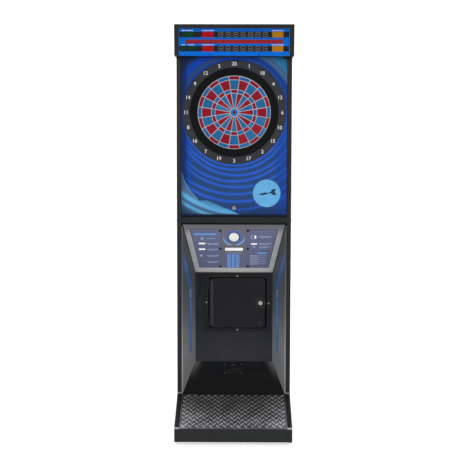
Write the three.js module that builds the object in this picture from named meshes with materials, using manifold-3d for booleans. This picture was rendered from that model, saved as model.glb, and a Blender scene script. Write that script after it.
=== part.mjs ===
// Floor-standing electronic dart machine: cabinet, lift-up target head, coin door,
// recessed control panel and an illuminated score header.
// Millimetres. X to the viewer's right, +Y away from the viewer, +Z up. Floor at Z = 0.
import * as THREE from 'three';
import { mergeVertices } from 'three/addons/utils/BufferGeometryUtils.js';
import Module from 'manifold-3d';

const wasm = await Module();
wasm.setup();

// ---------------------------------------------------------------- driving dimensions
const CLEAR = 0.3; // gap left between neighbouring parts

// cabinet carcass
const BODY_W = 614;
const SIDE_T = 24;
const FRONT_Y = -350; // toe of the base
const FACE_Y = -50; // plane of the head door and rail
const BACK_Y = 350;
const BASE_Z = 17; // cabinet bottom, held up by the feet
const TOE_Z = 93; // top of the front board, where the tread plate starts
const STEP_Z = 202; // top of the tread plate, where the recess ramp starts
const TOP_Z = 2020;
const TREAD_LEAN = 0.9; // slant of the tread plate's raised bars, radians
const TREAD_COLUMNS = 15;
const TREAD_ROWS = 8; // rows of each slant; the two slants are interleaved
const INNER_X = BODY_W / 2 - SIDE_T; // inside face of a side panel
const EDGE_T = 2.5; // thickness of the edge moulding's cap
const TONGUE_T = 1.8;
const TONGUE_DEPTH = 9;
const BOARD_T = 18;
const BACK_T = 12;

// recess below the target
const RECESS_BACK_Y = 110;
const RECESS_FRONT_X = 277;
const RECESS_BACK_X = 214;
const RAMP_TOP_Z = 346;
const PANEL_LOW_Z = 845;
const PANEL_HIGH_Z = 1132;
const RAMP_T = 12;
const WALL_T = 5.5; // wall thickness measured along X
const BACK_BOARD_T = 12;

// control panel, drawn flat: x across, y up the slope from its top edge, z out of the face
const PANEL_RISE = PANEL_HIGH_Z - PANEL_LOW_Z;
const PANEL_RUN = RECESS_BACK_Y - FACE_Y;
const PANEL_LEN = Math.hypot(PANEL_RISE, PANEL_RUN);
const PANEL_TILT = Math.atan2(PANEL_RISE, -PANEL_RUN);
const PANEL_BACKING_T = 3;
const BEZEL_W = 30;
const BEZEL_H = 5;
const OVERLAY_T = 0.8;
const CENTRE_W = 135;
const CENTRE_T = 1.5;
const BUTTON_V = -83; // start button centre below the top edge
const BUTTON_R = 27;
const BUTTON_RING_R = 40.5;
const BUTTON_TRAVEL = 4;
const SELECT_V = -166;
const SELECT_W = 100;
const SELECT_H = 20;

// coin door, on the back panel of the recess
const COIN_Z = 676;
const COIN_FRAME_X = 17.5;
const COIN_FRAME_W = 368;
const COIN_FRAME_H = 318;
const COIN_DOOR_X = 20;
const COIN_DOOR_W = 303;
const COIN_DOOR_H = 276;
const COIN_OPENING_W = 328; // leaves a dark groove all round the door
const COIN_OPENING_H = 290;
const COIN_STOP_Y = 119.2; // lip behind the door that closes the groove
const COIN_PIN = [-134.5, 104.4];
const COIN_LOCK_X = 147;
const COIN_THROAT_Y = 122; // inner end of the frame's throat, which the cam turns behind

// head door and target
const RAIL_LOW_Z = 1134.5;
const RAIL_TOP_Z = 1167;
const DOOR_LOW_Z = 1170;
const DOOR_HIGH_Z = 2008;
const DOOR_W = 563;
const DOOR_T = 16;
const BULL_Z = 1727; // regulation bull height above the floor
const HINGE_Y = -47;
const HINGE_Z = 2014;
const HEAD_LOCK_Z = 1217;
const NUMBER_RING_R = 276;
const CATCH_RING_R = 236;
const TARGET_R = 195;
const DOUBLE_R = [174.7, 191.6];
const OUTER_SINGLE_R = [123.1, 171.9];
const TRIPLE_R = [103.5, 120.3];
const INNER_SINGLE_R = [22.5, 100.7];
const OUTER_BULL_R = [8.6, 19.8];
const INNER_BULL_R = 6.6;
const BULL_FLANGE = 1.2; // how far each bull's rear flange stands beyond it
const SECTORS = 20;
const SPOKE_W = 3;
const ARC_STEPS = 2; // straight runs along a wedge's curved side
const ROUND = 48; // sides of the large circles
const WEB_Y = [-48, -35]; // front and back of the divider web
const SEGMENT_Y = -45.5;
const FILM_Y = [-34, -32.5]; // thin ring that links one ring of segments

// score header
const HEADER_W = 628;
const HEADER_Z = TOP_Z;
const HEADER_TOP_Z = 2183;
const HEADER_LOW_Y = -125;
const HEADER_HIGH_Y = -143;
const HEADER_BACK_Y = 117;
const HEADER_BAR = 24;
const HEADER_WALL = 12;
const HEADER_TILT = Math.atan2(HEADER_TOP_Z - HEADER_Z, HEADER_HIGH_Y - HEADER_LOW_Y);
const HEADER_FACE_T = 3;
const HEADER_FACE_W = HEADER_W - 2 * HEADER_BAR - 2 * CLEAR;
const HEADER_FACE_H = 142;
const DIGIT_PITCH = 38.8;
const DIGIT_FIRST_X = -70.4;
const DIGITS = 7;
const DIGIT_W = 31;
const DIGIT_H = 28;
const UPPER_ROW_S = 110.5; // row centres above the header's lower edge, along its face
const LOWER_ROW_S = 37.5;
const MESSAGE_S = 74;
const MESSAGE_W = 510;
const MESSAGE_H = 20;
const LENS_H = 29;
const UPPER_LENSES = [[-242.3, 59.5], [-137.3, 59.5], [227, 58]]; // centre x, width
const LOWER_LENSES = [[-265.2, 18.8], [-223.2, 34.9], [-137.3, 59.5], [227, 58]];

// ---------------------------------------------------------------- finishes
function finish(color, roughness, metalness) {
  return new THREE.MeshStandardMaterial({ color, roughness, metalness });
}

const BLACK_LAMINATE = finish(0x2e2e30, 0.55, 0);
const BLACK_TRIM = finish(0x2a2b2f, 0.45, 0);
const BLACK_STEEL = finish(0x1f2023, 0.5, 0.3);
const RAW_BOARD = finish(0x6e5a44, 0.85, 0);
const TREAD_METAL = finish(0x4a4b50, 0.4, 0.8);
const WALL_GREY = finish(0x55595a, 0.6, 0);
const SILVER = finish(0x9c999f, 0.35, 0.9);
const ZINC = finish(0xa9a9a4, 0.4, 0.9);
const BRASS = finish(0xa98a3e, 0.35, 0.9);
const OVERLAY_BLUE = finish(0x666c8c, 0.5, 0);
const CENTRE_GREY = finish(0x5c5a60, 0.5, 0);
const BUTTON_WHITE = finish(0xe6e6de, 0.35, 0);
const RING_BLUE = finish(0x1c4fae, 0.4, 0);
const ART_BLUE = finish(0x24509a, 0.5, 0);
const RING_GREY = finish(0x464649, 0.6, 0);
const SEGMENT_RED = finish(0x960f23, 0.55, 0);
const SEGMENT_BLUE = finish(0x236ea5, 0.55, 0);
const WEB_GREY = finish(0xafafb9, 0.5, 0);
const RUBBER = finish(0x1c1c1c, 0.9, 0);
const CIRCUIT = finish(0x1f5a34, 0.6, 0);
const HEADER_BLUE = finish(0x0064d2, 0.3, 0);
const HEADER_BLACK = finish(0x242326, 0.35, 0);
const LENS_RED = finish(0x8c1420, 0.3, 0);
const CLEAR_FILM = finish(0xb9c4c8, 0.3, 0);

// ---------------------------------------------------------------- geometry helpers
const group = new THREE.Group();
group.name = 'electronic_dart_machine';

function addMesh(name, geometry, material, parent = group) {
  const mesh = new THREE.Mesh(geometry, material);
  mesh.name = name;
  parent.add(mesh);
  return mesh;
}

function closed(geometry) {
  const bare = geometry.clone();
  bare.deleteAttribute('normal');
  bare.deleteAttribute('uv');
  const merged = mergeVertices(bare, 1e-4);
  return new wasm.Manifold(new wasm.Mesh({
    numProp: 3,
    vertProperties: new Float32Array(merged.attributes.position.array),
    triVerts: new Uint32Array(merged.index.array),
  }));
}

function toGeometry(manifold) {
  const mesh = manifold.getMesh();
  const geometry = new THREE.BufferGeometry();
  geometry.setAttribute('position', new THREE.BufferAttribute(mesh.vertProperties, 3));
  geometry.setIndex(new THREE.BufferAttribute(mesh.triVerts, 1));
  return geometry;
}

function union(geometries) {
  return toGeometry(geometries.map(closed).reduce((whole, part) => whole.add(part)));
}

function cut(geometry, tools) {
  return toGeometry(tools.map(closed).reduce((whole, tool) => whole.subtract(tool), closed(geometry)));
}

function common(first, second) {
  return toGeometry(closed(first).intersect(closed(second)));
}

// box given by its two extreme corners
function box(low, high) {
  const geometry = new THREE.BoxGeometry(high[0] - low[0], high[1] - low[1], high[2] - low[2]);
  return geometry.translate((low[0] + high[0]) / 2, (low[1] + high[1]) / 2, (low[2] + high[2]) / 2);
}

// points as vectors, ordered clockwise or anticlockwise as asked
function wound(points, clockwise) {
  const vectors = points.map(([x, y]) => new THREE.Vector2(x, y));
  return THREE.ShapeUtils.isClockWise(vectors) === clockwise ? vectors : vectors.reverse();
}

function shapeOf(points, holes = []) {
  const shape = new THREE.Shape(wound(points, false));
  shape.holes = holes.map((hole) => new THREE.Path(wound(hole, true)));
  return shape;
}

// outline in x, y pulled from z = low to z = high
function slab(points, low, high, holes = []) {
  const geometry = new THREE.ExtrudeGeometry(shapeOf(points, holes), {
    depth: high - low,
    bevelEnabled: false,
  });
  return geometry.translate(0, 0, low);
}

// outline in x, z pulled from y = low to y = high
function frontSlab(points, low, high, holes = []) {
  const flip = (list) => list.map(([x, z]) => [x, -z]);
  const geometry = slab(flip(points), low, high, holes.map(flip));
  return geometry.rotateX(-Math.PI / 2);
}

// outline in y, z pulled from x = low to x = high
function sideSlab(points, low, high) {
  const geometry = slab(points, low, high);
  return geometry.applyMatrix4(new THREE.Matrix4().set(0, 0, 1, 0, 1, 0, 0, 0, 0, 1, 0, 0, 0, 0, 0, 1));
}

function rectangle(cx, cy, width, height) {
  const halfW = width / 2;
  const halfH = height / 2;
  return [
    [cx - halfW, cy - halfH],
    [cx + halfW, cy - halfH],
    [cx + halfW, cy + halfH],
    [cx - halfW, cy + halfH],
  ];
}

function roundedRectangle(cx, cy, width, height, radius, steps = 3) {
  const points = [];
  const corners = [[1, -1, -90], [1, 1, 0], [-1, 1, 90], [-1, -1, 180]];
  for (const [sx, sy, start] of corners) {
    const x = cx + sx * (width / 2 - radius);
    const y = cy + sy * (height / 2 - radius);
    for (let i = 0; i <= steps; i += 1) {
      const angle = THREE.MathUtils.degToRad(start + (90 * i) / steps);
      points.push([x + radius * Math.cos(angle), y + radius * Math.sin(angle)]);
    }
  }
  return points;
}

function circle(cx, cy, radius, steps) {
  return Array.from({ length: steps }, (_, i) => {
    const angle = (2 * Math.PI * i) / steps;
    return [cx + radius * Math.cos(angle), cy + radius * Math.sin(angle)];
  });
}

// cylinder along y between two depths, centred at x, z
function rodY(x, z, radius, low, high, steps = 24) {
  return frontSlab(circle(x, z, radius, steps), low, high);
}

// profile [radius, height] turned about the y axis, faces outward whichever way it is listed
function turned(profile, steps) {
  const points = wound(profile, false);
  return new THREE.LatheGeometry(points, steps);
}

function turnedAboutBull(profile, steps) {
  return turned(profile, steps).translate(0, 0, BULL_Z);
}

// the run of points moved inward (to the right of travel) by a distance, with mitred corners
function offsetRun(points, distance) {
  const normals = points.slice(1).map(([y, z], i) => {
    const dy = y - points[i][0];
    const dz = z - points[i][1];
    const length = Math.hypot(dy, dz);
    return [dz / length, -dy / length];
  });
  return points.map(([y, z], i) => {
    const before = normals[Math.max(i - 1, 0)];
    const after = normals[Math.min(i, normals.length - 1)];
    const scale = distance / (1 + before[0] * after[0] + before[1] * after[1]);
    return [y + scale * (before[0] + after[0]), z + scale * (before[1] + after[1])];
  });
}

function band(points, near, far) {
  return [...offsetRun(points, near), ...offsetRun(points, far).reverse()];
}

// ---------------------------------------------------------------- carcass
const FRONT_RUN = [
  [FRONT_Y, BASE_Z],
  [FRONT_Y, TOE_Z],
  [FACE_Y, STEP_Z],
  [FACE_Y, TOP_Z],
  [BACK_Y, TOP_Z],
];

function addSide(name, low, high) {
  const outline = [...offsetRun(FRONT_RUN, EDGE_T + 0.1), [BACK_Y, BASE_Z]];
  const middle = (low + high) / 2;
  const groove = sideSlab(
    band(FRONT_RUN, EDGE_T - 1, EDGE_T + TONGUE_DEPTH + 0.5),
    middle - TONGUE_T / 2 - CLEAR,
    middle + TONGUE_T / 2 + CLEAR,
  );
  addMesh(`side_panel_${name}`, cut(sideSlab(outline, low, high), [groove]), BLACK_LAMINATE);
  const cap = sideSlab(band(FRONT_RUN, 0, EDGE_T), low, high);
  const tongue = sideSlab(
    band(FRONT_RUN, EDGE_T - 0.5, EDGE_T + TONGUE_DEPTH),
    middle - TONGUE_T / 2,
    middle + TONGUE_T / 2,
  );
  addMesh(`edge_moulding_${name}`, union([cap, tongue]), BLACK_TRIM);
}

function footHoles(low, high) {
  return footCentres().map(([x, y]) => slab(circle(x, y, 5.6, 12), low, high));
}

function addCarcassBoards() {
  const innerW = INNER_X - CLEAR;
  const bottom = box([-innerW, -328, BASE_Z], [innerW, 337, BASE_Z + BOARD_T]);
  addMesh('bottom_board', cut(bottom, footHoles(BASE_Z - 1, BASE_Z + BOARD_T + 1)), RAW_BOARD);
  addMesh('top_board', box([-innerW, -31, 1999], [innerW, 337, 2017]), RAW_BOARD);
  addMesh('base_front_board', box([-innerW, -347, BASE_Z], [innerW, -329, 89]), BLACK_LAMINATE);

  const slots = [];
  for (let row = 0; row < 4; row += 1) {
    for (const x of [-110, 0, 110]) {
      for (const z of [260, 1840]) {
        slots.push(roundedRectangle(x, z + row * 20, 84, 8, 3.9, 1));
      }
    }
  }
  slots.push(rectangle(205, 150, 48.4, 28.4));
  const back = box([-innerW, BACK_Y - BACK_T, BASE_Z], [innerW, BACK_Y, 1999 - CLEAR]);
  const cutters = slots.map((slot) => frontSlab(slot, BACK_Y - BACK_T - 1, BACK_Y + 1));
  addMesh('back_panel', cut(back, cutters), BLACK_LAMINATE);
}

function footCentres() {
  return [[-245, -262], [245, -262], [-245, 300], [245, 300]];
}

function addFeet() {
  const profile = [[0, 0], [19, 0], [21, 2], [21, 5], [9, 9], [8.5, 14], [5, 14], [5, 62], [4, 64], [0, 64]];
  const names = ['front_left', 'front_right', 'rear_left', 'rear_right'];
  footCentres().forEach(([x, y], i) => {
    const foot = turned(profile, 16).rotateX(Math.PI / 2);
    addMesh(`foot_${names[i]}`, foot.translate(x, y, 0), ZINC);
  });
}

// ---------------------------------------------------------------- base slope
function slopeSlab(from, to, thickness, halfWidth) {
  const run = [from, to];
  return sideSlab(band(run, 0, thickness), -halfWidth, halfWidth);
}

function addTreadPlate() {
  const slope = Math.atan2(STEP_Z - TOE_Z, FACE_Y - FRONT_Y);
  const length = Math.hypot(STEP_Z - TOE_Z, FACE_Y - FRONT_Y);
  const halfW = INNER_X - CLEAR;
  const margin = 10;
  const parts = [box([-halfW, 1, -2.5], [halfW, length - 1, 0])];
  const pitchX = (2 * halfW - 2 * margin) / TREAD_COLUMNS;
  const pitchY = (length - 2 * margin) / TREAD_ROWS;
  for (let row = 0; row < 2 * TREAD_ROWS; row += 1) {
    for (let column = 0; column < TREAD_COLUMNS; column += 1) {
      const lean = row % 2 === 0 ? -1 : 1;
      const x = -halfW + margin + (column + (lean > 0 ? 0.75 : 0.25)) * pitchX;
      const y = margin + (row / 2 + 0.25) * pitchY;
      parts.push(box([-13, -2.2, -0.5], [13, 2.2, 1.6]).rotateZ(lean * TREAD_LEAN).translate(x, y, 0));
    }
  }
  const plate = union(parts);
  plate.rotateX(slope).translate(0, FRONT_Y, TOE_Z - 2.2);
  addMesh('tread_plate', plate, TREAD_METAL);
}

// ---------------------------------------------------------------- recess
function recessPlan(clearance, front = FACE_Y, back = RECESS_BACK_Y) {
  return [
    [-RECESS_FRONT_X + clearance, front],
    [RECESS_FRONT_X - clearance, front],
    [RECESS_BACK_X - clearance, back],
    [-RECESS_BACK_X + clearance, back],
  ];
}

function addRecess() {
  const rampRun = [[FACE_Y, STEP_Z], [RECESS_BACK_Y, RAMP_TOP_Z]];
  const deep = slopeSlab(rampRun[0], rampRun[1], RAMP_T, INNER_X);
  const plan = slab(recessPlan(CLEAR, FACE_Y, RECESS_BACK_Y - CLEAR), 0, TOP_Z);
  const ramp = common(deep, plan);
  addMesh('ramp_panel', ramp, BLACK_LAMINATE);

  const slope = Math.atan2(RAMP_TOP_Z - STEP_Z, RECESS_BACK_Y - FACE_Y);
  const plate = slab(roundedRectangle(0, 0, 108, 76, 6), 0.1, 2.1);
  plate.translate(-3, Math.hypot(RAMP_TOP_Z - STEP_Z, RECESS_BACK_Y - FACE_Y) - 52, 0);
  plate.rotateX(slope).translate(0, FACE_Y, STEP_Z);
  addMesh('ramp_service_plate', plate, BLACK_STEEL);

  const side = sideSlab([
    [FACE_Y, STEP_Z + 1],
    [RECESS_BACK_Y - CLEAR, RAMP_TOP_Z + 0.6],
    [RECESS_BACK_Y - CLEAR, PANEL_LOW_Z - 8],
    [FACE_Y, PANEL_HIGH_Z - 12],
  ], -BODY_W, BODY_W);
  for (const [name, sign] of [['left', -1], ['right', 1]]) {
    const planPoints = [
      [sign * RECESS_FRONT_X, FACE_Y],
      [sign * (RECESS_FRONT_X + WALL_T), FACE_Y],
      [sign * (RECESS_BACK_X + WALL_T), RECESS_BACK_Y],
      [sign * RECESS_BACK_X, RECESS_BACK_Y],
    ];
    const wall = slab(sign > 0 ? planPoints : planPoints.reverse(), 0, TOP_Z);
    addMesh(`recess_wall_${name}`, common(wall, side), WALL_GREY);
  }

  const opening = rectangle(COIN_DOOR_X, COIN_Z, COIN_OPENING_W + 5, COIN_OPENING_H + 5);
  const board = rectangle(0, (320 + 880) / 2, 2 * INNER_X - 2 * CLEAR, 560);
  const panel = frontSlab(board, RECESS_BACK_Y, RECESS_BACK_Y + BACK_BOARD_T, [opening]);
  addMesh('recess_back_panel', panel, BLACK_STEEL);
}

// ---------------------------------------------------------------- control panel
function panelHalfWidth(v, clearance = 0) {
  return RECESS_FRONT_X + ((RECESS_FRONT_X - RECESS_BACK_X) * v) / PANEL_LEN - clearance;
}

function panelTrapezoid(top, bottom, clearance) {
  const topW = panelHalfWidth(top, clearance);
  const bottomW = panelHalfWidth(bottom, clearance);
  return [[-bottomW, bottom], [bottomW, bottom], [topW, top], [-topW, top]];
}

function addControlPanel() {
  const panel = new THREE.Group();
  panel.name = 'control_panel';
  panel.position.set(0, FACE_Y, PANEL_HIGH_Z);
  panel.rotation.x = PANEL_TILT;
  group.add(panel);

  const top = -4;
  const bottom = -PANEL_LEN + 5.5;
  const startHole = circle(0, BUTTON_V, 29.6, 24);
  const selectHole = rectangle(0, SELECT_V, SELECT_W + 7, SELECT_H + 7);
  const backing = slab(panelTrapezoid(top, bottom, 0.6), -PANEL_BACKING_T, 0, [startHole, selectHole]);
  addMesh('control_backing_plate', backing, BLACK_STEEL, panel);

  const inner = panelTrapezoid(top - BEZEL_W, bottom + BEZEL_W - 3, BEZEL_W + 0.8);
  const stepLine = panelTrapezoid(top - BEZEL_W / 2, bottom + BEZEL_W / 2, BEZEL_W / 2 + 0.8);
  const bezel = union([
    slab(panelTrapezoid(top, bottom, 0.8), 0.1, BEZEL_H, [stepLine]),
    slab(panelTrapezoid(top - 3, bottom + 3, 3.8), 0.1, BEZEL_H - 2, [inner]),
  ]);
  addMesh('control_bezel', bezel, SILVER, panel);

  const gap = BEZEL_W + 1.2;
  const windowTop = top - BEZEL_W - 0.4;
  const windowBottom = bottom + BEZEL_W - 2.6;
  const half = CENTRE_W / 2;
  const overlay = [
    [half + CLEAR, windowBottom],
    [panelHalfWidth(windowBottom, gap), windowBottom],
    [panelHalfWidth(windowTop, gap), windowTop],
    [half + CLEAR, windowTop],
  ];
  addMesh('instruction_overlay_right', slab(overlay, 0.1, OVERLAY_T), OVERLAY_BLUE, panel);
  const mirrored = overlay.map(([x, y]) => [-x, y]).reverse();
  addMesh('instruction_overlay_left', slab(mirrored, 0.1, OVERLAY_T), OVERLAY_BLUE, panel);
  const centre = rectangle(0, (windowTop + windowBottom) / 2, CENTRE_W, windowTop - windowBottom);
  addMesh('centre_plate', slab(centre, 0.1, CENTRE_T, [startHole, selectHole]), CENTRE_GREY, panel);
  addStartButton(panel);
  addSelectButton(panel);
}

function addStartButton(panel) {
  const onPanel = (profile) => turned(profile, 32).rotateX(Math.PI / 2).translate(0, BUTTON_V, 0);
  const flange = BUTTON_RING_R;
  const bore = BUTTON_R + 0.6;
  const low = CENTRE_T + 0.1;
  const housing = [
    [bore, -24], [29.2, -24], [29.2, low], [flange, low], [flange, low + 1], [flange - 2, low + 3.5],
    [bore + 1, low + 3.5], [bore, low + 2.5], [bore, -24],
  ];
  addMesh('start_button_housing', onPanel(housing), RING_BLUE, panel);
  const plunger = [
    [0, -27], [6, -27], [6, -10], [BUTTON_R - 2, -10], [BUTTON_R, -9], [BUTTON_R, 9], [BUTTON_R - 1.5, 10.6],
    [BUTTON_R - 9, 11.6], [0, 12],
  ];
  addMesh('start_button', onPanel(plunger), BUTTON_WHITE, panel);
  const switchBody = union([
    box([-14, BUTTON_V - 9, -54], [14, BUTTON_V + 9, -32]),
    box([-9, BUTTON_V - 2, -60], [-7, BUTTON_V + 2, -53]),
    box([7, BUTTON_V - 2, -60], [9, BUTTON_V + 2, -53]),
    box([-34, BUTTON_V - 4, -40], [34, BUTTON_V + 4, -36]),
    box([-34, BUTTON_V - 4, -40], [-30, BUTTON_V + 4, -PANEL_BACKING_T - 0.1]),
    box([30, BUTTON_V - 4, -40], [34, BUTTON_V + 4, -PANEL_BACKING_T - 0.1]),
  ]);
  addMesh('start_button_switch', switchBody, BLACK_TRIM, panel);
}

function addSelectButton(panel) {
  const outer = rectangle(0, SELECT_V, SELECT_W + 6, SELECT_H + 6);
  const lip = rectangle(0, SELECT_V, SELECT_W + 9, SELECT_H + 9);
  const hole = rectangle(0, SELECT_V, SELECT_W + 1.2, SELECT_H + 1.2);
  const housing = union([
    slab(outer, -16, 2.4, [hole]),
    slab(lip, CENTRE_T + 0.1, 3, [hole]),
    slab(outer, -17.5, -15.5, [rectangle(0, SELECT_V, SELECT_W - 16, SELECT_H - 10)]),
  ]);
  addMesh('select_button_housing', housing, BLACK_TRIM, panel);
  const cap = union([
    slab(rectangle(0, SELECT_V, SELECT_W, SELECT_H), -11.5, 4.4),
    slab(rectangle(0, SELECT_V, SELECT_W - 3, SELECT_H - 3), 3.9, 5.4),
    slab(rectangle(0, SELECT_V, 12, 6), -20, -11),
  ]);
  addMesh('select_button', cap, BUTTON_WHITE, panel);
}

// ---------------------------------------------------------------- coin door
function coinBarrel(low, high, bore) {
  const ring = slab(circle(COIN_PIN[0], COIN_PIN[1], 2.9, 12), low, high);
  return bore ? cut(ring, [slab(circle(COIN_PIN[0], COIN_PIN[1], 1.7, 12), low - 1, high + 1)]) : ring;
}

function addCoinDoor() {
  const front = RECESS_BACK_Y - 2.6;
  const opening = rectangle(COIN_DOOR_X, COIN_Z, COIN_OPENING_W, COIN_OPENING_H);
  const flange = roundedRectangle(COIN_FRAME_X, COIN_Z, COIN_FRAME_W, COIN_FRAME_H, 24, 4);
  const throatOuter = rectangle(COIN_DOOR_X, COIN_Z, COIN_OPENING_W + 4, COIN_OPENING_H + 4);
  const stopHole = rectangle(COIN_DOOR_X, COIN_Z, COIN_DOOR_W - 24, COIN_DOOR_H - 24);
  const hingeTabX = COIN_DOOR_X - COIN_OPENING_W / 2 - 4;
  const frame = union([
    frontSlab(flange, front, RECESS_BACK_Y - 0.1, [opening]),
    frontSlab(throatOuter, front + 0.5, COIN_THROAT_Y, [opening]),
    frontSlab(throatOuter, COIN_STOP_Y, COIN_THROAT_Y, [stopHole]),
    coinBarrel(547, 597, false),
    coinBarrel(753, 803, false),
    box([hingeTabX, COIN_PIN[1] + 1, 547], [COIN_PIN[0], front + 1, 597]),
    box([hingeTabX, COIN_PIN[1] + 1, 753], [COIN_PIN[0], front + 1, 803]),
  ]);
  addMesh('coin_door_frame', frame, BLACK_STEEL);

  const sheet = roundedRectangle(COIN_DOOR_X, COIN_Z, COIN_DOOR_W, COIN_DOOR_H, 12, 3);
  const raised = roundedRectangle(10, COIN_Z, 236, 216, 8, 2);
  const raisedInner = roundedRectangle(10, COIN_Z, 224, 204, 5, 2);
  const lockHole = circle(COIN_LOCK_X, COIN_Z, 9.7, 16);
  const returnOuter = rectangle(COIN_DOOR_X, COIN_Z, COIN_DOOR_W - 6, COIN_DOOR_H - 6);
  const returnInner = rectangle(COIN_DOOR_X, COIN_Z, COIN_DOOR_W - 10, COIN_DOOR_H - 10);
  const knuckle = coinBarrel(598, 752, false);
  const door = union([
    frontSlab(sheet, 103.2, 106.2, [lockHole]),
    frontSlab(raised, 101.2, 103.6, [raisedInner]),
    frontSlab(circle(COIN_LOCK_X, COIN_Z, 24, 24), 101.2, 103.6, [circle(COIN_LOCK_X, COIN_Z, 20, 24)]),
    frontSlab(returnOuter, 106, 118, [returnInner]),
    knuckle,
    box([COIN_PIN[0], 103.2, 598], [-124, 106.2, 752]),
  ]);
  addMesh('coin_door', door, BLACK_STEEL);

  const lock = union([
    rodY(COIN_LOCK_X, COIN_Z, 12.5, 98.6, 102.9),
    rodY(COIN_LOCK_X, COIN_Z, 9.3, 102.6, 124),
    box([COIN_LOCK_X - 8, 123.5, COIN_Z - 8], [COIN_LOCK_X + 8, 126, COIN_Z + 8]),
    box([COIN_LOCK_X - 7, 123.5, COIN_Z - 42], [COIN_LOCK_X + 7, 126, COIN_Z]),
  ]);
  const keyway = box([COIN_LOCK_X - 1.2, 95, COIN_Z - 5], [COIN_LOCK_X + 1.2, 100.2, COIN_Z + 5]);
  addMesh('coin_door_lock', cut(lock, [keyway]), ZINC);

  const groove = box([-188.5, 100, 719], [-184, 108, 825]);
  addMesh('narrow_cover_plate', cut(box([-191, 106.5, 716], [-168.5, 109.9, 828]), [groove]), BLACK_STEEL);

  const mech = union([
    box([-70, 106.4, 600], [40, 109, 756]),
    box([-62, 108.5, 610], [32, 158, 744]),
    box([-40, 118, 594], [-20, 140, 611]),
  ]);
  addMesh('coin_mechanism', cut(mech, [box([-44, 116, 700], [-40, 165, 750])]), ZINC);

  const cashBox = cut(box([-120, 150, 36], [120, 328, 170]), [box([-117, 153, 39], [117, 325, 180])]);
  addMesh('cash_box', cashBox, ZINC);
}

// ---------------------------------------------------------------- head door
function headBarrel(low, high, bore) {
  const outline = circle(HINGE_Y, HINGE_Z, 3.1, 12);
  const ring = sideSlab(outline, low, high);
  return bore ? cut(ring, [sideSlab(circle(HINGE_Y, HINGE_Z, 1.9, 12), low - 1, high + 1)]) : ring;
}

function addHeadHinge() {
  const length = 520;
  const knuckles = 7;
  const pitch = length / knuckles;
  const fixed = [box([-length / 2, HINGE_Y - 1, HINGE_Z + 3.4], [length / 2, 20, HINGE_Z + 5.4])];
  const moving = [box([-length / 2, -49.5, DOOR_HIGH_Z + 0.1], [length / 2, -34.2, DOOR_HIGH_Z + 1.7])];
  fixed.push(sideSlab(circle(HINGE_Y, HINGE_Z, 1.5, 8), -length / 2 + 1, length / 2 - 1));
  for (let i = 0; i < knuckles; i += 1) {
    const low = -length / 2 + i * pitch + 0.3;
    const high = low + pitch - 0.6;
    if (i % 2 === 0) {
      fixed.push(headBarrel(low, high, false));
      fixed.push(box([low, HINGE_Y - 1.5, HINGE_Z + 1.5], [high, HINGE_Y + 1.5, HINGE_Z + 4]));
    } else {
      moving.push(headBarrel(low, high, true));
      moving.push(cut(box([low, HINGE_Y - 2, DOOR_HIGH_Z + 1], [high, HINGE_Y + 2, HINGE_Z - 1]),
        [sideSlab(circle(HINGE_Y, HINGE_Z, 1.9, 12), low - 1, high + 1)]));
    }
  }
  addMesh('head_hinge_fixed_leaf', union(fixed), ZINC);
  addMesh('head_hinge_door_leaf', union(moving), ZINC);
}

function addHeadDoor() {
  const outline = rectangle(0, (DOOR_LOW_Z + DOOR_HIGH_Z) / 2, DOOR_W, DOOR_HIGH_Z - DOOR_LOW_Z);
  const holes = [circle(0, BULL_Z, 232.5, ROUND), circle(0, HEAD_LOCK_Z, 9.7, 16)];
  addMesh('head_door_panel', frontSlab(outline, FACE_Y, FACE_Y + DOOR_T, holes), ART_BLUE);

  const lock = union([
    rodY(0, HEAD_LOCK_Z, 13, -54, -50.2),
    rodY(0, HEAD_LOCK_Z, 9.3, -50.4, -17.5),
    box([-8, -18, HEAD_LOCK_Z - 8], [8, -15.5, HEAD_LOCK_Z + 8]),
    box([0, -18, HEAD_LOCK_Z - 7], [62, -15.5, HEAD_LOCK_Z + 7]),
  ]);
  const keyway = box([-1.2, -60, HEAD_LOCK_Z - 5], [1.2, -52.4, HEAD_LOCK_Z + 5]);
  addMesh('head_door_lock', cut(lock, [keyway]), BRASS);
  const rail = box([-INNER_X + CLEAR, -49.5, RAIL_LOW_Z], [INNER_X - CLEAR, -20, RAIL_TOP_Z]);
  addMesh('head_rail', rail, BLACK_LAMINATE);
  addHeadHinge();
}

// ---------------------------------------------------------------- target
function arcPoint(radius, degrees) {
  const angle = THREE.MathUtils.degToRad(degrees);
  return [radius * Math.sin(angle), BULL_Z + radius * Math.cos(angle)];
}

// outline of one wedge between two radii, kept half a spoke clear of the sector lines
function wedgeOutline(inner, outer, sector, margin) {
  const middle = (360 / SECTORS) * sector;
  const half = 180 / SECTORS;
  const points = [];
  const push = (radius, count, direction) => {
    const trim = THREE.MathUtils.radToDeg((SPOKE_W / 2 + margin) / radius);
    for (let i = 0; i <= count; i += 1) {
      const t = direction > 0 ? i / count : 1 - i / count;
      points.push(arcPoint(radius, middle - half + trim + t * 2 * (half - trim)));
    }
  };
  push(inner + margin, inner > 50 ? ARC_STEPS : 1, -1);
  push(outer - margin, ARC_STEPS, 1);
  return points;
}

function addWeb() {
  const holes = [circle(0, BULL_Z, OUTER_BULL_R[1] + CLEAR, 32)];
  const rings = [DOUBLE_R, OUTER_SINGLE_R, TRIPLE_R, INNER_SINGLE_R];
  for (const [inner, outer] of rings) {
    for (let sector = 0; sector < SECTORS; sector += 1) {
      holes.push(wedgeOutline(inner, outer, sector, 0));
    }
  }
  const grid = frontSlab(circle(0, BULL_Z, TARGET_R, ROUND), WEB_Y[0], WEB_Y[1], holes);
  const rim = circle(0, BULL_Z, TARGET_R - 2, ROUND);
  const flange = frontSlab(circle(0, BULL_Z, 224, ROUND), -38.5, WEB_Y[1], [rim]);
  addMesh('target_web', union([grid, flange]), WEB_GREY);
}

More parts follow.
